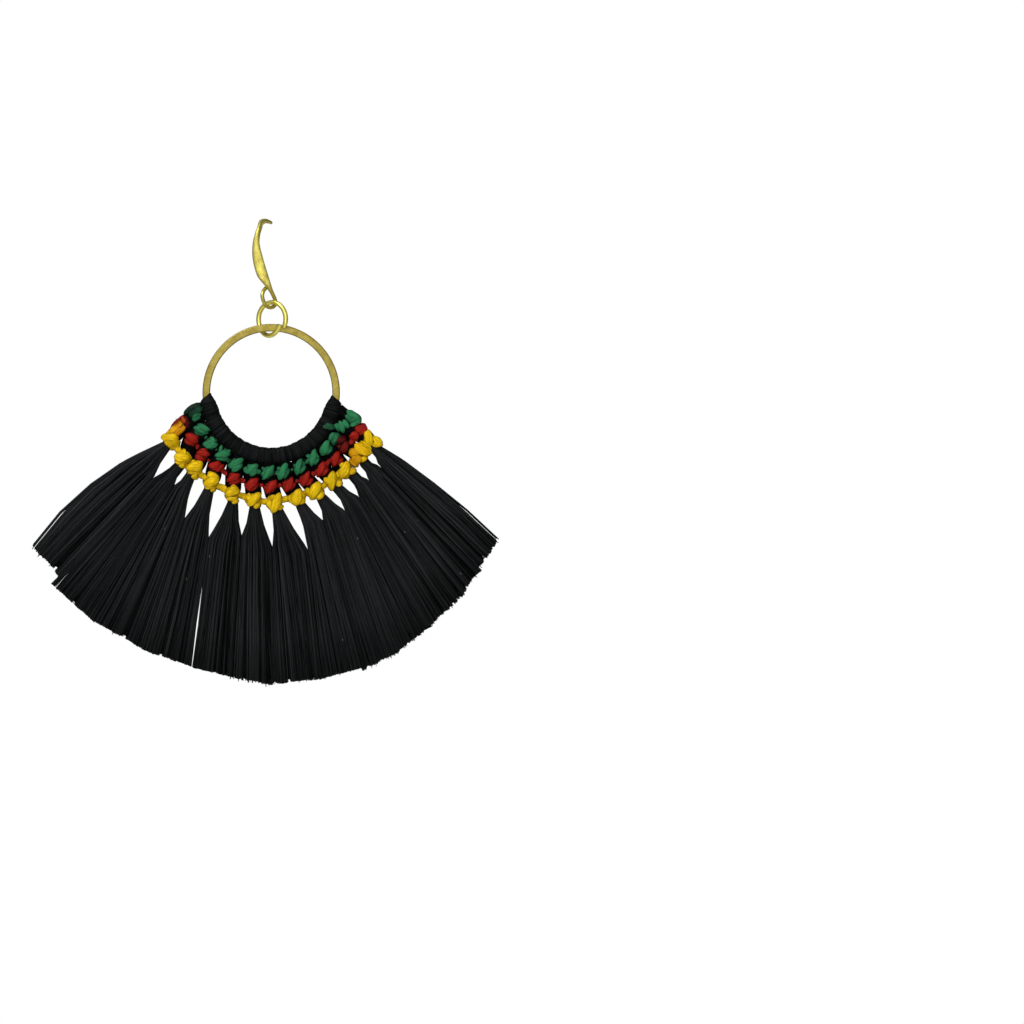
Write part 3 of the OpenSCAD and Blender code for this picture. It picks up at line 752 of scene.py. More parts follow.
def fringe_threads(surface, b, settings, rng):
    """Threads of one bundle. A thread starts in the neck at a place across and in front or behind, and keeps
    its share of the width between the two sides. It is gathered into a lock, whose middle stands proud: the
    hollow beside it goes by the square of the place in the lock, and so does a wisp's."""
    row = BUNDLES[b]
    count = settings.threads
    across = (np.arange(count) * GOLDEN + rng.random()) % 1
    layer = rng.choice(LAYERS, count)
    (_, left), (_, right) = fringe_lines(b, np.array([1.0]))
    locks = lock_bounds(max(3, round(np.linalg.norm(right - left) / LOCK_W)), rng)
    wisps = lock_bounds(round(WISPS * len(locks)), rng)
    lock, in_l = in_lock(across, locks)
    wisp, in_w = in_lock(across, wisps)
    lift = rng.uniform(-LOCK_LIFT, LOCK_LIFT, len(locks))
    drift = rng.normal(0, LOCK_DRIFT, len(locks))
    trim = rng.normal(0, LOCK_TRIM, len(locks))
    lock_tone = rng.uniform(*LOCK_TONE, len(locks))
    rag = rng.normal(0, RAG + MORE_RAG * row[RAGGED], count)
    overlong = rng.random(count) < OVERLONG_SHARE * row[RAGGED] ** 2
    rag += np.where(overlong, rng.uniform(*OVERLONG, count), 0)
    rag += rng.normal(0, WISP_RAG * row[RAGGED], len(wisps))[wisp]
    ends = mix(row[LEFT_END], row[RIGHT_END], across)
    ends += (TRIM_SPARE + trim[lock] * (0.2 + row[RAGGED]) + rag) / FRINGE_L
    share = fringe_stations(b) * np.where(fringe_stations(b) > 0, ends[:, None], 1)
    opened = ease((share - 0.02) / 0.22)
    middle = (locks[lock] + locks[lock + 1]) / 2
    gather = opened * GATHER * (1 - GATHER_LOSS * share**3)
    held = across[:, None] + gather * (middle - across)[:, None]
    lines = fringe_lines(b, share, 0.12 * MM)
    flat = spread(lines, held)
    rightward = unit(lines[1][1] - lines[0][1])
    wander = drift[lock] + rng.normal(0, THREAD_DRIFT, count)
    stray = rng.random(count) < STRAY_SHARE
    wander += np.where(stray, rng.normal(0, STRAY_DRIFT, count), 0)
    wave = np.sin(share * rng.uniform(4, 9, count)[:, None] + rng.uniform(0, FULL_TURN, count)[:, None])
    sideways = np.clip(share, 0, 1) ** 1.5 * wander[:, None] + opened * wave * WAVE
    from_middle = np.abs(2 * across - 1)[:, None]
    sideways *= 1 - SIDE_HOLD * from_middle**5
    for _, at, start, width in PARTINGS[PARTINGS[:, 0] == b]:
        away = across[:, None] - at
        push = np.sign(away) * np.exp(-np.abs(away) / PUSH_REACH) * width / 2 * MM
        sideways += push * np.sin(0.7 * np.pi * np.clip((share - start) / (1 - start), 0, 1))
    flat += rightward * sideways[..., None]
    rounded = np.sqrt(np.clip(1 - from_middle**2, 0, 1))
    full = mix(0.5, 1, 1 - from_middle**2.6)
    crown = fringe_half(share) * mix(rounded, full, opened)
    hollows = LOCK_DEPTH * in_l**2 + WISP_DEPTH * in_w**2 - lift[lock]
    sunk = rng.random(count)[:, None] ** 2 * SUNK
    shell = np.maximum(crown - opened * hollows[:, None] - sunk, 0.1 * MM)
    within = rng.uniform(-WITHIN, WITHIN, count)[:, None] * crown
    path = seat(flat, np.where(layer[:, None] == 0, within, -layer[:, None] * shell))
    half = settings.thread_d / 2 * mix(NECK_THREAD, 1, opened)
    roll = rng.uniform(0, FULL_TURN, count)[:, None, None]
    # Painted shade: threads towards a wisp's sides are darker, as in the creases between wisps; a lock's and
    # a thread's tones differ at random
    tone = lock_tone[lock] + WISP_SHADE * (0.5 - in_w**2) + rng.normal(0, THREAD_TONE, count)
    tint = shaded(np.clip(tone, 0, 1))
    surface.grid(sweep(path, BACK_AXIS, ellipse(half, half, 3, 1.0, roll)), tint[:, None, None])
    fringe_lint(surface, path, share, half[0, -1:] * 0.8, rng)


def fringe_lint(surface, path, share, half, rng):
    """Pale flecks of lint, each lying along a short stretch of some thread."""
    lint = rng.integers(0, len(path), FLECKS)
    ends = (rng.uniform(*FLECK_FROM, (FLECKS, 1)) + [0, FLECK_L]) * share[lint, -1:]
    flecks = np.stack([np.stack([np.interp(at, share[i], path[i, :, k]) for k in range(3)], -1)
                       for i, at in zip(lint, ends)])
    surface.grid(sweep(flecks - [0, FLECK_OUT, 0], BACK_AXIS, ellipse(half, half, 3)), (0, 0, 1))


# Filling, at the darkest strand colour as painted shade inside the bundle: points along it and round it, how
# squared it is, how much of the thickness and the width it fills, and how much less of the width at the ends
# of the outer bundles
FILL_ROWS = 20
FILL_SIDES = 40
FILL_POWER = 0.75
FILL_DEPTH = 0.5
FILL_WIDTH = 0.93
FILL_TAPER = 0.15


def fringe_heart(surface, b):
    """Filling behind the threads, at the darkest strand colour as painted shade: a squared ellipse between
    the two sides, a little inside them.
    """
    row = BUNDLES[b]
    end = mix(row[LEFT_END], row[RIGHT_END], 0.5) + 0.45 * TRIM_SPARE / FRINGE_L
    share = np.linspace(0, 1, FILL_ROWS) * end
    (left, _), (right, _) = fringe_lines(b, share)
    tapered = FILL_WIDTH - (FILL_TAPER * share**3 if b in (0, 1, len(BUNDLES) - 1) else 0)
    width = tapered * np.linalg.norm(right - left, axis=-1) / 2
    section = ellipse(FILL_DEPTH * fringe_half(share), width, FILL_SIDES, FILL_POWER)
    surface.grid(sweep(seat((left + right) / 2, 0), BACK_AXIS, section), (0, 0, 0))


# Fold's ends, by degrees from the tip: inner and outer radius and half thickness in millimetres
TIP_ROWS = np.array([
    (0, 13.15, 13.5, 0.85), (2, 12.95, 14.15, 1.1), (4, 12.75, 14.9, 1.3), (6.5, 12.5, 15.5, 1.45),
    (9, 12.25, 15.65, 1.58), (13, 12.02, 15.7, 1.65),
])
# Degrees by which one fold is laid over the next
LAID_OVER = 0.9
# Fold: points along it for each thread laid, points round it, and how squared its profile is
FOLD_STEPS = 5
FOLD_SIDES = 44
FOLD_POWER = 0.74
# Height in millimetres and pace over the threads of its three swells, height of a laid thread, and their tone
SWELLS = ((0.05, 0.8), (0.025, 1.9), (0.008, 4.4))
LAID_HEIGHT = 0.004
FOLD_TONE = 0.2
LAID_TONE = 0.05


def fold(surface, start, end, settings, rng, tip):
    """Threads laid over the hoop between two creases: a squared ellipse round the band, carried on the hoop's
    circle, with soft uneven swells, the sum of three sines of the angle. It is fullest between the creases.
    tip is -1 or 1 where the fold's start or end runs out to a point, and otherwise 0."""
    threads = max(3, round(np.radians(end - start) * HOOP_R / settings.fold_thread))
    turns = np.linspace(0, threads, FOLD_STEPS * threads + 1)
    angle = mix(start, end, turns / threads)
    from_tip = (angle - start if tip < 0 else end - angle) if tip else np.full(len(angle), 90.0)
    inner, outer, half_t = (np.interp(from_tip, TIP_ROWS[:, 0], TIP_ROWS[:, k]) * MM for k in (1, 2, 3))
    share = 2 * turns / threads - 1
    pinch = MM * (0.05 * share**2 + 0.07 * share**12)
    if tip:
        pinch *= np.where(share * tip > 0, ease(from_tip / 12), 1)
    turn = round_turn(FOLD_SIDES)
    section = ellipse((outer - inner) / 2 - pinch, half_t - pinch, FOLD_SIDES, FOLD_POWER)
    number = turns[:, None] + 0.35 * np.sin(turn) + 0.18 * np.sin(2 * turn + rng.uniform(0, FULL_TURN))
    bends = (0, 2 * np.sin(turn), -2 * np.sin(2 * turn))
    swell = sum(
        height * np.sin(pace * number + phase + bend)
        for (height, pace), phase, bend in zip(SWELLS, rng.uniform(0, FULL_TURN, 3), bends))
    in_thread = 2 * (number % 1) - 1
    ridge = (swell + np.sqrt(np.clip(1.05 - in_thread**2, 0, 1)) * LAID_HEIGHT) * MM
    section = section + ridge[..., None] * np.stack([np.cos(turn), np.sin(turn)], -1)
    radius = ((inner + outer) / 2)[:, None] + section[..., 0]
    laid = np.floor(number).astype(int) + 1
    tone = FOLD_TONE + LAID_TONE * rng.standard_normal(threads + 4)[laid]
    tint = shaded(np.clip(tone, 0, 1))
    surface.grid(seat(place(radius, angle[:, None]), section[..., 1]), tint, crosswise=9)


# Core: points for each station and round it, the number and depth of its ridges, and its tone, kept near the
# darkest as painted shade where it shows between the knots
CORE_STEPS = 5
CORE_SIDES = 44
CORE_RIDGES = 11
CORE_RIDGE = 0.055
CORE_SHADE = 0.02


def bundle_core(surface, fold_at, fold_half, path):
    """Bundle between its fold and its neck: a ridged round swept along the places where it passes the knots,
    given as radius, angle and half width."""
    rows = [(WRAP_R - 0.5 * MM, fold_at, fold_half, 1.2 * CORE_D / 2)]
    rows += [(radius, angle, half, CORE_D / 2) for radius, angle, half in path]
    flat = smooth([(*place(radius, angle), side, thick) for radius, angle, side, thick in rows], CORE_STEPS)
    turn = round_turn(CORE_SIDES)
    ridges = 1 + CORE_RIDGE * np.cos(CORE_RIDGES * turn + 0.6 * np.sin(3 * turn))
    section = ellipse(flat[:, 3], flat[:, 2], CORE_SIDES) * ridges[:, None]
    # The core's tint is painted shade, near the darkest strand colour
    surface.grid(sweep(seat(flat[:, :2], 0), BACK_AXIS, section), (CORE_SHADE, 0, 0))


# Stations of a bundle through the knots: radius, two of its angles and the share between them, and half width
CORE_ROWS = (
    (GREEN_R, AT_GREEN, AT_RED, 0.0, 1.86 * MM), (RED_R - 0.8 * MM, AT_GREEN, AT_RED, 0.7, 1.9 * MM),
    (RED_R + 0.7 * MM, AT_RED, AT_YELLOW, 0.2, 1.75 * MM), (YELLOW_R - MM, AT_RED, AT_YELLOW, 0.8, 1.7 * MM),
    (YELLOW_R, AT_RED, AT_YELLOW, 1.0, 1.3 * MM),
    (NECK_R + 0.3 * MM, AT_YELLOW, AT_NECK, 1.0, 1.0 * MM),
)


# First bundle, whose fold runs out to a point: half width of its core at the fold, and degrees that the core
# keeps inwards there and at the first knot
FIRST_HALF = 2.5 * MM
FIRST_INSIDE = 4.5
# Second leg of the last bundle: half widths at its fold, at its knot and below, and degrees that it keeps
# inwards at its fold and at its knot
LEG_HALVES = (1.5 * MM, 1.2 * MM, 0.9 * MM)
LEG_INSIDE = (3.5, 1)
# Starting numbers of the random draws, to which the number of the bundle or the row of knots is added
BUNDLE_SEED = 100
KNOT_SEED = 40


def tassel_surface(b, settings):
    """One bundle: its fold or folds over the hoop, its core through the knots, and its fringe."""
    rng = np.random.default_rng(BUNDLE_SEED + b)
    surface = Surface()
    row = BUNDLES[b]
    start, end = EDGES[b][CREASE], EDGES[b + 1][CREASE]
    fold(surface, start - (b > 0) * LAID_OVER, end + LAID_OVER, settings, rng, -1 if b == 0 else 0)
    half = FIRST_HALF if b == 0 else min(np.radians((end - start) / 2 - 0.2) * WRAP_R, CORE_D)
    inside = FIRST_INSIDE if b == 0 else 0.0
    path = [(radius, mix(row[a], row[c], share) + inside * (radius < RED_R), half_w)
            for radius, a, c, share, half_w in CORE_ROWS]
    bundle_core(surface, (start + end) / 2 + inside, half, path)
    if b == len(BUNDLES) - 1:
        fold(surface, end - LAID_OVER, LAST_CREASE, settings, rng, 1)
        at_fold, at_knot = (end + LAST_CREASE) / 2 - LEG_INSIDE[0], SECOND_GREEN - LEG_INSIDE[1]
        leg = [(GREEN_R, at_knot, LEG_HALVES[1]), (GREEN_R + 1.5 * MM, at_knot, LEG_HALVES[2])]
        bundle_core(surface, at_fold, LEG_HALVES[0], leg)
    fringe_heart(surface, b)
    fringe_threads(surface, b, settings, rng)
    return surface


# Laps of the knots, measured in the front view in steps across and down, the hoop's centre at LAP_CENTRE:
# both ends of the lap's middle line, its width and its level (a link between knots is at -1), and then, where
# they aren't 0, shade towards the deep colour and warmth, both in tenths
LAP_STEP = 0.02185 * MM
LAP_CENTRE = np.array([1162.0, -18.0])
GREEN_LAPS = [
    (290, 195, 460, 92, 58, 1, 10), (335, 238, 475, 128, 70, 2, 9), (368, 270, 462, 200, 62, 4, 5),
    (435, 180, 460, 240, 26, 3, -1), (425, 300, 555, 360, 50, 2, -1), (385, 330, 535, 390, 60, 1),
    (395, 368, 475, 402, 40, 0, 2), (465, 392, 530, 447, 30, -1), (485, 500, 625, 455, 60, 1),
    (500, 527, 632, 500, 50, 2), (562, 422, 602, 500, 45, 2, -1), (483, 482, 545, 530, 45, 1, 1),
    (578, 533, 632, 562, 24, -1), (600, 612, 758, 590, 60, 2), (608, 640, 748, 652, 46, 1, 1),
    (645, 592, 668, 503, 30, 1), (690, 577, 768, 563, 28, 1), (655, 585, 722, 545, 26, 1, 1),
    (715, 668, 775, 658, 28, -1), (740, 732, 887, 643, 62, 2), (726, 700, 830, 747, 50, 1, 1),
    (770, 772, 880, 700, 52, 2), (858, 742, 915, 734, 24, -1, -1), (905, 787, 1032, 703, 60, 2),
    (883, 733, 962, 792, 50, 1), (948, 812, 1037, 745, 55, 2), (1000, 765, 1064, 778, 42, 1),
    (1040, 778, 1092, 778, 24, -1), (1078, 852, 1189, 708, 56, 2), (1060, 812, 1140, 740, 40, 1),
    (1060, 728, 1150, 782, 34, 0, 1), (1100, 842, 1192, 768, 40, 1, 1),
    (1162, 798, 1238, 790, 26, -1, -1), (1240, 854, 1322, 686, 66, 2), (1202, 772, 1282, 827, 48, 1),
    (1220, 730, 1287, 772, 30, 1, -1), (1290, 847, 1347, 743, 36, 1, 1), (1332, 762, 1405, 744, 26, -1),
    (1415, 808, 1466, 642, 58, 2), (1378, 698, 1450, 742, 34, 0, 1), (1440, 792, 1507, 718, 38, 1, 1),
    (1393, 772, 1450, 720, 30, 3, -1), (1492, 714, 1540, 660, 24, -1), (1565, 717, 1602, 542, 56, 2),
    (1506, 610, 1600, 642, 36, 1), (1500, 692, 1562, 640, 28, 1), (1580, 702, 1642, 640, 40, 1, 1),
    (1602, 578, 1638, 642, 34, 1), (1668, 614, 1735, 460, 74, 2), (1655, 577, 1690, 518, 34, 3, -1),
    (1705, 602, 1762, 540, 44, 1, 1), (1738, 584, 1776, 545, 26, 0, 1), (1743, 472, 1792, 378, 42, 2),
    (1768, 497, 1837, 383, 50, 1, 3), (1792, 505, 1817, 430, 30, 0, 5), (1672, 308, 1802, 337, 62, 3, 8),
    (1790, 300, 1832, 342, 40, 1, 2), (1815, 288, 1850, 372, 50, 1, 1), (1845, 266, 1886, 387, 52, 2),
    (1885, 253, 1940, 337, 50, 2), (1918, 163, 2062, 257, 62, 2), (1903, 208, 2012, 292, 60, 1, 1),
    (1953, 314, 2064, 263, 46, 2), (1963, 277, 2022, 233, 26, 3, 1),
]
RED_LAPS = [
    (163, 320, 300, 198, 22, 1, 2), (305, 213, 332, 352, 52, 1, 7), (272, 213, 302, 302, 36, 2, 1, 2),
    (305, 393, 432, 482, 70, 2), (298, 450, 402, 502, 58, 1, 1), (330, 400, 443, 440, 50, 1),
    (395, 508, 458, 548, 42, -1), (418, 578, 553, 602, 56, 2), (403, 610, 502, 662, 55, 1, 1),
    (440, 560, 532, 570, 40, 1), (510, 638, 565, 684, 26, -1), (538, 717, 662, 688, 60, 2),
    (560, 748, 683, 720, 55, 1, 1), (600, 774, 692, 700, 45, 1), (655, 748, 750, 817, 38, -1, -1),
    (718, 867, 852, 798, 60, 2), (740, 893, 863, 850, 48, 1, 1), (735, 830, 802, 862, 40, 1),
    (842, 850, 915, 866, 40, -1), (908, 942, 1037, 843, 68, 2), (898, 890, 982, 962, 58, 1, 1),
    (950, 963, 1037, 900, 40, 1, 1), (1030, 912, 1105, 904, 32, -1), (1108, 992, 1216, 858, 66, 2),
    (1093, 910, 1150, 992, 46, 1, 1), (1150, 987, 1232, 888, 40, 1, 1), (1210, 916, 1290, 899, 34, -1),
    (1303, 978, 1376, 828, 60, 2), (1283, 898, 1332, 977, 46, 1, 1), (1345, 962, 1407, 878, 38, 1, 1),
    (1385, 882, 1455, 858, 36, -1, 2), (1473, 922, 1546, 768, 56, 2), (1450, 850, 1500, 917, 42, 1, 1),
    (1510, 912, 1582, 838, 44, 1), (1545, 824, 1610, 772, 42, -1, -1), (1623, 828, 1691, 670, 58, 2),
    (1610, 750, 1655, 817, 42, 1, 1), (1660, 812, 1737, 748, 46, 1), (1697, 728, 1763, 648, 48, 0, 3),
    (1783, 722, 1836, 568, 60, 2), (1768, 660, 1812, 717, 40, 1, 1), (1820, 702, 1882, 638, 44, 1),
    (1808, 470, 1922, 430, 70, 1, 8), (1858, 592, 1927, 468, 72, 2, 6), (1828, 500, 1872, 572, 40, 1, 8),
    (1943, 442, 2037, 383, 70, 2), (1948, 507, 1992, 430, 44, 1, 1), (1960, 472, 2032, 440, 36, 1, 2),
    (1998, 352, 2112, 328, 80, 2), (2038, 402, 2117, 320, 62, 2), (2018, 308, 2112, 310, 42, 1, 1),
]
YELLOW_LAPS = [
    (78, 452, 222, 302, 54, 0, 0, 2), (218, 348, 272, 244, 60, 3, 3, 8),
    (135, 392, 282, 264, 66, 2, 0, 5), (185, 424, 302, 286, 84, 1, 3, 8), (62, 428, 238, 438, 80, 2),
    (92, 468, 255, 480, 72, 1, 0, 1), (138, 545, 248, 490, 60, 1), (100, 440, 175, 540, 60, 2),
    (215, 585, 240, 512, 50, 1), (285, 615, 290, 540, 46, 1), (192, 620, 353, 642, 90, 2),
    (195, 664, 322, 682, 60, 1, 1), (238, 690, 302, 730, 50, 1), (212, 560, 330, 620, 60, 1),
    (296, 696, 350, 744, 42, -1, 1), (315, 742, 478, 720, 86, 2), (368, 700, 402, 655, 40, 1),
    (328, 772, 452, 782, 56, 1, 1), (368, 800, 432, 845, 50, 1), (400, 678, 482, 704, 50, 1),
    (415, 783, 540, 842, 45, -1), (486, 902, 642, 840, 90, 2), (528, 788, 600, 842, 50, 1),
    (500, 932, 622, 922, 50, 1, 1), (552, 968, 612, 944, 36, 1), (520, 778, 643, 830, 42, 1, 1),
    (610, 908, 735, 967, 48, -1), (700, 1002, 848, 958, 90, 2), (758, 912, 838, 952, 48, 1),
    (713, 1043, 832, 1032, 50, 1, 1), (768, 1088, 842, 1062, 38, 1), (708, 945, 800, 985, 50, 1),
    (830, 998, 935, 1037, 45, -1), (928, 1113, 1053, 985, 74, 2), (908, 1008, 1012, 1104, 62, 1),
    (930, 985, 965, 1045, 40, 1), (988, 1138, 1058, 1088, 46, 1), (1030, 1064, 1140, 1076, 46, -1),
    (1170, 1184, 1250, 986, 85, 2), (1118, 1058, 1192, 1162, 62, 1), (1192, 1132, 1288, 1120, 52, 1),
    (1145, 1040, 1212, 1010, 40, 1, 1), (1240, 1062, 1360, 1038, 44, -1), (1400, 1114, 1450, 946, 95, 2),
    (1337, 1008, 1402, 1094, 60, 1), (1430, 1092, 1502, 1048, 50, 1), (1440, 958, 1503, 1042, 42, 1, 1),
    (1475, 1004, 1556, 973, 44, -1), (1558, 1054, 1642, 872, 90, 2), (1507, 933, 1572, 1024, 60, 1),
    (1610, 1043, 1692, 978, 56, 1), (1620, 898, 1673, 982, 42, 1, 1), (1645, 944, 1715, 892, 44, -1),
    (1763, 966, 1782, 766, 80, 2), (1687, 838, 1802, 902, 62, 2), (1808, 902, 1878, 880, 56, 1),
    (1790, 778, 1812, 872, 42, 1, 1), (1805, 834, 1855, 787, 44, -1), (1858, 844, 1932, 666, 90, 2),
    (1812, 834, 1882, 740, 52, 1), (1928, 792, 2014, 750, 60, 1), (1848, 722, 1902, 690, 42, 1),
    (1938, 602, 2052, 558, 90, 2, 1, 6), (1968, 693, 2062, 608, 82, 2, 1, 6),
    (1948, 640, 2032, 724, 62, 1, 3, 6), (2036, 662, 2128, 628, 52, 1, 0, 1),
    (1998, 498, 2152, 604, 90, 3, 0, 2), (2056, 468, 2177, 592, 62, 2), (2122, 350, 2150, 524, 80, 3),
    (2092, 448, 2142, 522, 42, 2, 1), (2176, 418, 2272, 502, 62, 2), (2160, 502, 2279, 506, 52, 2),
]
# Columns of a lap's row when none is left out
LAP_COLUMNS = 8
# Points along a lap and round it, ridges on one half of it, their height as a share of its size, and the mean
# of |sin|
LAP_ROWS = 12
LAP_SIDES = 36
RIDGES = 6.5
RIDGE_HEIGHT = 0.16
SINE_MEAN = 0.64
# Shape of a lap and of a link: length and width as shares of what was measured, height as a share of half the
# width, power of its outline, and its depth in front as a share of the knot's
LAP_SHAPE = (1.04, 1.1, 0.28, 2.4, 1)
LINK_SHAPE = (1.25, 1.32, 0.5, 5, 0.45)
# Powers that bring the width and the height in towards a lap's ends
WIDTH_POWER = 0.62
HEIGHT_POWER = 0.6
# Knot's round body: half its width across the bundle, and its depth in front of the hoop's middle
DOME_W = 2.1 * MM
DOME_D = 1.3 * MM
# How far one level lies over the next, how far a lap's ends dive, and how much it bows, in half widths
LEVEL = 0.15 * MM
DIVE = 0.6 * MM
LAP_BOW = 0.16
# Heights of two swells of a form and how fast they twist along it, for a lap and for the body under the laps
LAP_SWELLS = (0.10, 0.06, 3.1, 4.3)
HEART_SWELLS = (0.07, 0.05, 2.6, 3)
# Painted shade of a lap's rim, ends and grooves: how dark they are; how much one lap differs from the next at
# random; and how much one level differs from another, lower laps darker as painted shade
RIM_DARK = 0.85
END_DARK = 0.5
GROOVE_DARK = 0.5
LAP_TONE = 0.08
LEVEL_SHADE = 0.1


def uneven(turn, s, phase, swells):
    """Factor that swells a form unevenly: 1 plus sines of two and of five waves of the angle round it, which
    twist opposite ways with the share s along it."""
    soft, fine, twist, back = swells
    return 1 + soft * np.sin(2 * turn + twist * s + phase) + fine * np.sin(5 * turn - back * s + 2 * phase)


def lap_depth(flat, angles):
    """Depth of a knot's round body in front of a place: a half ellipse across the nearest bundle."""
    radius = np.linalg.norm(flat, axis=-1)
    angle = np.degrees(np.arctan2(flat[..., 1], flat[..., 0])) % 360
    from_axis = np.radians(np.abs(angle[..., None] - np.array(angles)).min(-1)) * radius
    return DOME_D * np.sqrt(np.clip(1 - (from_axis / DOME_W) ** 2, 0.06, 1))


def knot_laps(surface, angles, laps, rng):
    """Laps of the floss, in front and behind. A lap is a leaf on its middle line: its half width and height
    are (1 - |s|^p) to a power, for the share s along it, with ridges of |sin| round it, and it lies on the
    knot's round body. Painted shade makes it darkest along its rim, at its ends and between the ridges, and
    darker on lower levels."""
    rows = np.array([lap + (0,) * (LAP_COLUMNS - len(lap)) for lap in laps], float)
    start, end = ((rows[:, k : k + 2] - LAP_CENTRE) * [LAP_STEP, -LAP_STEP] for k in (0, 2))
    along = unit(end - start)
    middle, along, across = (v[:, None, None] for v in ((start + end) / 2, along, quarter(along)))
    wide, level, shade, warmth = (rows[:, k, None, None] for k in (4, 5, 6, 7))
    link = level < 0
    long, broad, high, power, lying = (np.where(link, *pair) for pair in zip(LINK_SHAPE, LAP_SHAPE))
    half_l = long * (np.linalg.norm(end - start, axis=-1) / 2)[:, None, None]
    half_w = broad * wide * LAP_STEP / 2
    half_h = high * half_w
    s = np.sin(np.linspace(-np.pi / 2, np.pi / 2, LAP_ROWS))[:, None]
    turn = round_turn(LAP_SIDES)
    leaf = np.clip(1 - np.abs(s) ** power, 0.0004, 1)
    for side in (1, -1):
        phase, other = rng.uniform(0, FULL_TURN, (2, *half_l.shape))
        thread = np.abs(np.sin(RIDGES * turn + phase + 0.9 * s))
        ridge = uneven(turn, s, other, LAP_SWELLS) + RIDGE_HEIGHT * (thread - SINE_MEAN)
        w = half_w * leaf**WIDTH_POWER * np.cos(turn) * ridge
        h = half_h * leaf**HEIGHT_POWER * np.sin(turn) * ridge
        bow = rng.uniform(-LAP_BOW, LAP_BOW, half_l.shape) * half_w * (1 - s**2)
        flat = middle + along * (s * half_l)[..., None] + across * (w + bow)[..., None]
        body = lap_depth(flat, angles) * lying - DIVE * np.where(link, 0, s**4)
        points = seat(flat, -side * (body + LEVEL * level + 0.3 * half_h + h))
        face = np.clip(np.sin(turn), 0, 1)
        # Painted shade: darker at the rim away from the front, at the ends, and in the grooves between the
        # ridges; lower levels darker too
        hollow = RIM_DARK * (1 - face) ** 1.9 + END_DARK * np.abs(s) ** 6 + GROOVE_DARK * (1 - thread) ** 2
        own = rng.normal(0, LAP_TONE, half_l.shape) + LEVEL_SHADE * (1 - np.abs(level))
        dark = np.clip(shade / 10 + own + hollow, 0, 1)
        surface.grid(points, np.stack(np.broadcast_arrays(dark, warmth / 10, 0), -1))


# Body under the laps: points along it and round it, how much further it reaches across than half its height,
# its depth in front, the power of its outline, and its painted shade: how dark it is, and how much more so at
# its rim and its ends
HEART_ROWS = 12
HEART_SIDES = 32
HEART_SPARE = 0.15 * MM
HEART_DEPTH = 1.45 * MM
HEART_POWER = 2.6
HEART_SHADE = (0.30, 0.6, 0.3)


def knot_hearts(surface, radius, height, angles, rng):
    """Body under the laps of each knot: a flattened barrel whose half width and depth are the root of
    (1 - |s|^p) for the share s along it, uneven round it, with painted shade that is darkest along its rim
    and darker at its ends."""
    s = np.sin(np.linspace(-np.pi / 2, np.pi / 2, HEART_ROWS))[:, None]
    turn = round_turn(HEART_SIDES)
    home = place(radius, np.array(angles))[:, None, None]
    outward = unit(home)
    phase = rng.uniform(0, FULL_TURN, (len(angles), 1, 1))
    barrel = np.clip(1 - np.abs(s) ** HEART_POWER, 0.0004, 1) ** 0.5 * uneven(turn, s, phase, HEART_SWELLS)
    across = (0.5 * height + HEART_SPARE) * barrel * np.cos(turn)
    down = s * height / 2 * (1 + 0.08 * np.cos(turn + phase))
    flat = home + quarter(outward) * across[..., None] + outward * down[..., None]
    points = seat(flat, -HEART_DEPTH * barrel * np.sin(turn))
    front, rim, tips = HEART_SHADE
    dark = np.clip(front + rim * (1 - np.abs(np.sin(turn))) ** 2 + tips * np.abs(s) ** 4, 0, 1)
    surface.grid(points, shaded(dark), crosswise=8)


# Whiskers to a knot, how far they start from its middle, half a whisker's width, and the range of its length
WHISKERS = 2
WHISKER_OUT = 1.35 * MM
WHISKER_HALF = 0.035 * MM
WHISKER_L = (0.3 * MM, 0.8 * MM)


def knot_whiskers(surface, radius, height, angles, rng):
    """Loose filaments that stand off the knots: thin bent three-sided hairs."""
    knot = np.repeat(np.arange(len(angles)), WHISKERS)
    turn = rng.uniform(0, FULL_TURN, len(knot))
    home = place(radius, np.array(angles)[knot])
    outward = unit(home)
    at_r = rng.uniform(-0.45, 0.45, len(knot)) * height
    flat = home + quarter(outward) * (WHISKER_OUT * np.sin(turn))[:, None] + outward * at_r[:, None]
    start = seat(flat, -WHISKER_OUT * np.cos(turn))
    way = rng.normal(0, 1, (len(knot), 3)) + 2.2 * unit(start - seat(home, 0))
    length = rng.uniform(*WHISKER_L, len(knot))
    t = np.linspace(0, 1, 4)
    bend = rng.normal(0, 0.25, (len(knot), 1, 3))
    path = unit(way)[:, None] * t[:, None] + bend * t[:, None] ** 2
    half = WHISKER_HALF * (1 - 0.6 * t)
    path = start[:, None] + path * length[:, None, None]
    surface.grid(sweep(path, BACK_AXIS + 0.1, ellipse(half, half, 3)), (0.1, 0, 0))


def knot_row(radius, height, angles, bodies, laps, seed):
    """One row: a barrel under the laps of the knots listed in bodies, laps and links, and whiskers."""
    rng = np.random.default_rng(seed)
    surface = Surface()
    knot_hearts(surface, radius, height, bodies, rng)
    knot_laps(surface, angles, laps, rng)
    knot_whiskers(surface, radius, height, angles, rng)
    return surface


# Angle from which an edge of the hook or the ring stays sharp
SHARP = np.radians(60)


class EARRING_OT_findings(bpy.types.Operator):
    """Build the brass ear hook, jump ring and hoop"""

    bl_idname = "earring.findings"
    bl_label = "Findings"
    bl_options = {"REGISTER", "UNDO"}

    def execute(self, context):
        settings = context.scene.earring_findings
        polished = brass("polished_brass", settings.polished, settings.tarnish_and_shade, 0.4, 0.9)
        bright = brass("bright_brass", settings.bright, settings.tarnish_and_shade, 0.3, 0.5)
        aged = brass("aged_brass", settings.aged, settings.tarnish_and_shade, 0.46, 1.4)
        hook = hook_surface(settings.wire_sides)
        hook.piece("ear_hook_wire", "ear_hook", "hook", "brass", polished, SHARP)
        ring = ring_surface(settings.wire_sides)
        ring.piece("jump_ring_wire", "jump_ring", "ring", "brass", bright, SHARP)
        hoop_surface().piece("hoop_band", "hoop", "drop", "brass", aged)
        return {"FINISHED"}


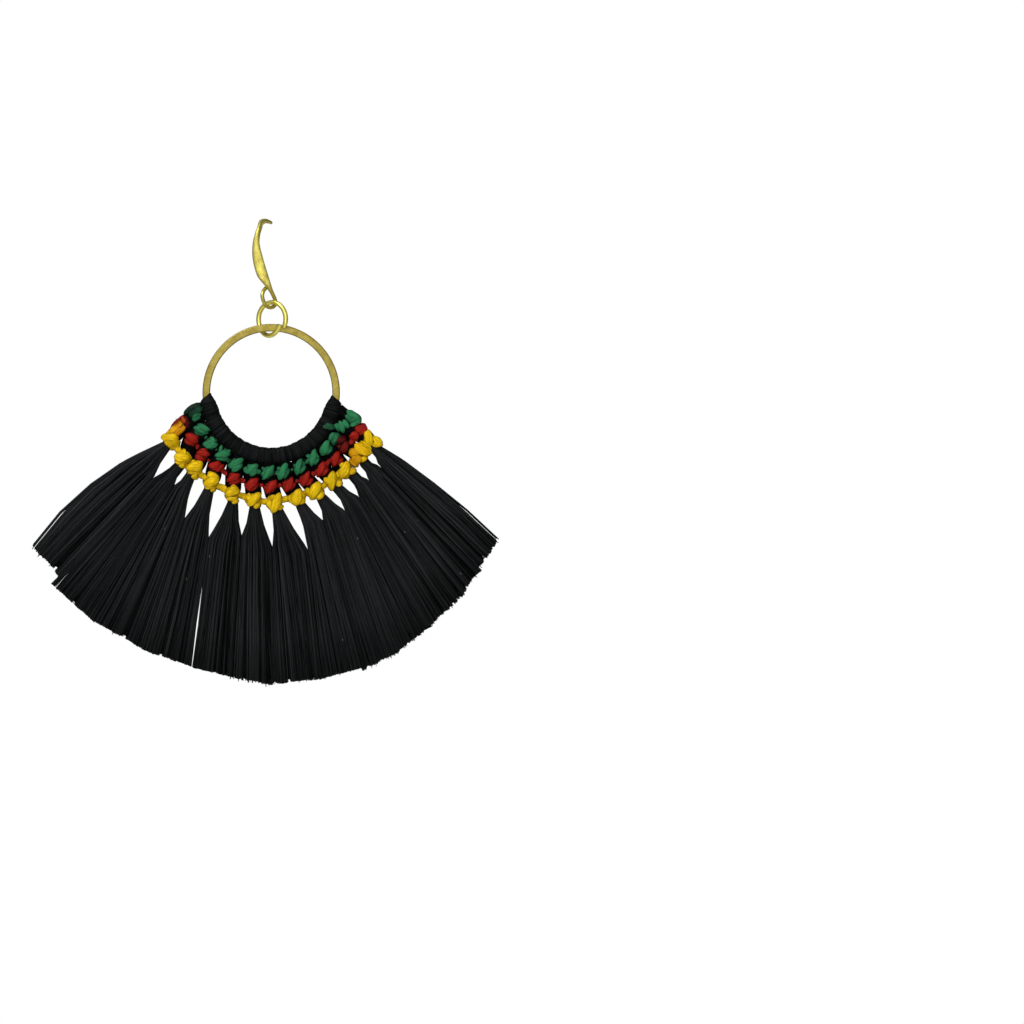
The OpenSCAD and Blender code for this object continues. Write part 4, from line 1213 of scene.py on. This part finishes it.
class EARRING_OT_tassels(bpy.types.Operator):
    """Build the thirteen bundles of black thread"""

    bl_idname = "earring.tassels"
    bl_label = "Tassels"
    bl_options = {"REGISTER", "UNDO"}

    def execute(self, context):
        settings = context.scene.earring_thread
        material = black_thread(settings)
        for b in range(len(BUNDLES)):
            name, node = f"thread_bundle_{b + 1:02d}", f"tassel_{b + 1:02d}"
            tassel_surface(b, settings).piece(name, node, "drop", "black_thread", material)
        return {"FINISHED"}


# Height of the barrels under the knots, in the first two rows and in the last
KNOT_H = 2.75 * MM
YELLOW_KNOT_H = 3.3 * MM


class EARRING_OT_knots(bpy.types.Operator):
    """Build the three knotted rows"""

    bl_idname = "earring.knots"
    bl_label = "Knotted rows"
    bl_options = {"REGISTER", "UNDO"}

    def execute(self, context):
        settings = context.scene.earring_knots
        at = {name: [row[k] for row in BUNDLES] for k, name in enumerate(("green", "red", "yellow"))}
        at["green"].append(SECOND_GREEN)
        # Radius and height of the barrels, the knots that have one, the laps, and the dye of the warm ones
        rows = (
            ("green", GREEN_R, KNOT_H, slice(1, -2), GREEN_LAPS, settings.green),
            ("red", RED_R + 0.1 * MM, KNOT_H, slice(1, 11), RED_LAPS, settings.orange),
            ("yellow", YELLOW_R + 0.1 * MM, YELLOW_KNOT_H, slice(1, 11), YELLOW_LAPS, settings.orange),
        )
        for number, (name, radius, height, barrels, laps, warm) in enumerate(rows):
            deep = getattr(settings, f"{name}_deep")
            material = floss(f"{name}_floss", getattr(settings, name), deep, warm)
            surface = knot_row(radius, height, at[name], at[name][barrels], laps, KNOT_SEED + number)
            surface.piece(f"{name}_knots", f"{name}_knot_cord", "drop", f"{name}_floss", material)
        return {"FINISHED"}


# Middle of the view, across and up
VIEW_MIDDLE = (53.93 * MM, -63.41 * MM)
# Lights: where each stands and how wide it is, in metres, and what both are aimed at
KEY_AT, KEY_W = (-0.35, -0.5, 0.6), 0.4
FRONT_AT, FRONT_W = (0.1, -1.6, 0.2), 1.3
FAN_MIDDLE = Vector((0, 0, -0.05))
# Floor: half its side in metres, two greys that its grain runs between, and a glow that only the camera sees
FLOOR_HALF = 2.0
FLOOR_GREYS = ((0.78, 0.78, 0.77), (0.84, 0.84, 0.83))
FLOOR_GLOW = (0.3, 0.3, 0.3)
WHITE = (1, 1, 1, 1)
# Light from all round: how it grows upwards and to the front from its level beside the earring
ROOM_UP = 0.4
ROOM_FRONT = 0.3
ROOM_LEVEL = 0.45


class EARRING_OT_stage(bpy.types.Operator):
    """Set the camera, the soft lights and the pale floor"""

    bl_idname = "earring.stage"
    bl_label = "Stage"
    bl_options = {"REGISTER", "UNDO"}

    def execute(self, context):
        scene = context.scene
        settings = scene.earring_stage
        camera = bpy.data.objects.new("camera", bpy.data.cameras.new("camera"))
        camera.data.lens = settings.lens
        distance = settings.frame_w * settings.lens / camera.data.sensor_width
        camera.location = (VIEW_MIDDLE[0], HOOP_CENTRE[1] - distance, VIEW_MIDDLE[1])
        camera.rotation_euler = (np.pi / 2, 0, 0)
        scene.collection.objects.link(camera)
        scene.camera = camera
        self.light(scene, "key_light", KEY_AT, KEY_W, settings.key_power)
        self.light(scene, "front_light", FRONT_AT, FRONT_W, settings.front_power)
        self.floor(scene, settings.floor_z)
        self.world(scene, settings.room)
        scene.view_settings.view_transform = "Standard"
        return {"FINISHED"}

    def light(self, scene, name, where, size, power):
        """Square soft light aimed at the middle of the fan."""
        data = bpy.data.lights.new(name, "AREA")
        data.size = size
        data.energy = power
        light = bpy.data.objects.new(name, data)
        light.location = where
        aim = FAN_MIDDLE - light.location
        light.rotation_euler = aim.to_track_quat("-Z", "Y").to_euler()
        scene.collection.objects.link(light)

    def floor(self, scene, height):
        """Plain pale floor below the held earring: one square, which the camera sees a little brighter."""
        square = np.array([(-1, -1), (1, -1), (1, 1), (-1, 1)]) * FLOOR_HALF
        mesh = bpy.data.meshes.new("floor")
        mesh.from_pydata(np.column_stack([square, np.full(4, height)]), [], [(0, 1, 2, 3)])
        shader = Shader(bpy.data.materials.new("pale_floor"))
        grain = shader.clouds(60)
        shade = shader.blend(grain, *FLOOR_GREYS)
        seen = shader.node("ShaderNodeLightPath", out="Is Camera Ray")
        glow = shader.blend(seen, (0, 0, 0), FLOOR_GLOW)
        mesh.materials.append(shader.finish(
            {"Base Color": shade, "Roughness": 0.7, "Emission Color": glow, "Emission Strength": 1.0}))
        floor = bpy.data.objects.new("floor", mesh)
        scene.collection.objects.link(floor)

    def world(self, scene, room):
        """White behind the earring, and for its light a soft grey that is brighter above and in front."""
        scene.world = bpy.data.worlds.new("studio")
        studio = Shader(scene.world)
        direction = studio.node("ShaderNodeTexCoord", out="Generated")
        ahead = studio.node("ShaderNodeSeparateXYZ", {0: direction}, out=1)
        up = studio.node("ShaderNodeSeparateXYZ", {0: direction}, out=2)
        level = studio.clamp(up * ROOM_UP - ahead * ROOM_FRONT + ROOM_LEVEL) * room
        soft = studio.node("ShaderNodeBackground", {"Color": WHITE, "Strength": level})
        plain = studio.node("ShaderNodeBackground", {"Color": WHITE, "Strength": 1.0})
        seen = studio.node("ShaderNodeLightPath", out="Is Camera Ray")
        both = studio.node("ShaderNodeMixShader", {0: seen, 1: soft, 2: plain})
        studio.node("ShaderNodeOutputWorld", {"Surface": both})


STEPS = (EARRING_OT_findings, EARRING_OT_tassels, EARRING_OT_knots, EARRING_OT_stage)


class EARRING_PT_sidebar(bpy.types.Panel):
    """Lists the pieces and their sizes"""

    bl_label = "Tassel earring"
    bl_space_type = "VIEW_3D"
    bl_region_type = "UI"
    bl_category = "Tassel earring"

    def draw(self, context):
        for step, name in zip(STEPS, ("findings", "thread", "knots", "stage")):
            box = self.layout.box()
            box.operator(step.bl_idname)
            settings = getattr(context.scene, f"earring_{name}")
            for key in settings.__annotations__:
                box.prop(settings, key)


SETTINGS = {
    "earring_findings": FindingsSettings,
    "earring_thread": ThreadSettings,
    "earring_knots": KnotSettings,
    "earring_stage": StageSettings,
}


def register():
    for cls in (*SETTINGS.values(), *STEPS, EARRING_PT_sidebar):
        bpy.utils.register_class(cls)
    for name, cls in SETTINGS.items():
        setattr(bpy.types.Scene, name, PointerProperty(type=cls))


def unregister():
    for name in SETTINGS:
        delattr(bpy.types.Scene, name)
    for cls in reversed((*SETTINGS.values(), *STEPS, EARRING_PT_sidebar)):
        bpy.utils.unregister_class(cls)


def main():
    register()
    bpy.ops.earring.findings()
    bpy.ops.earring.tassels()
    bpy.ops.earring.knots()
    bpy.ops.earring.stage()
    bpy.context.view_layer.update()


if __name__ == "__main__":
    main()
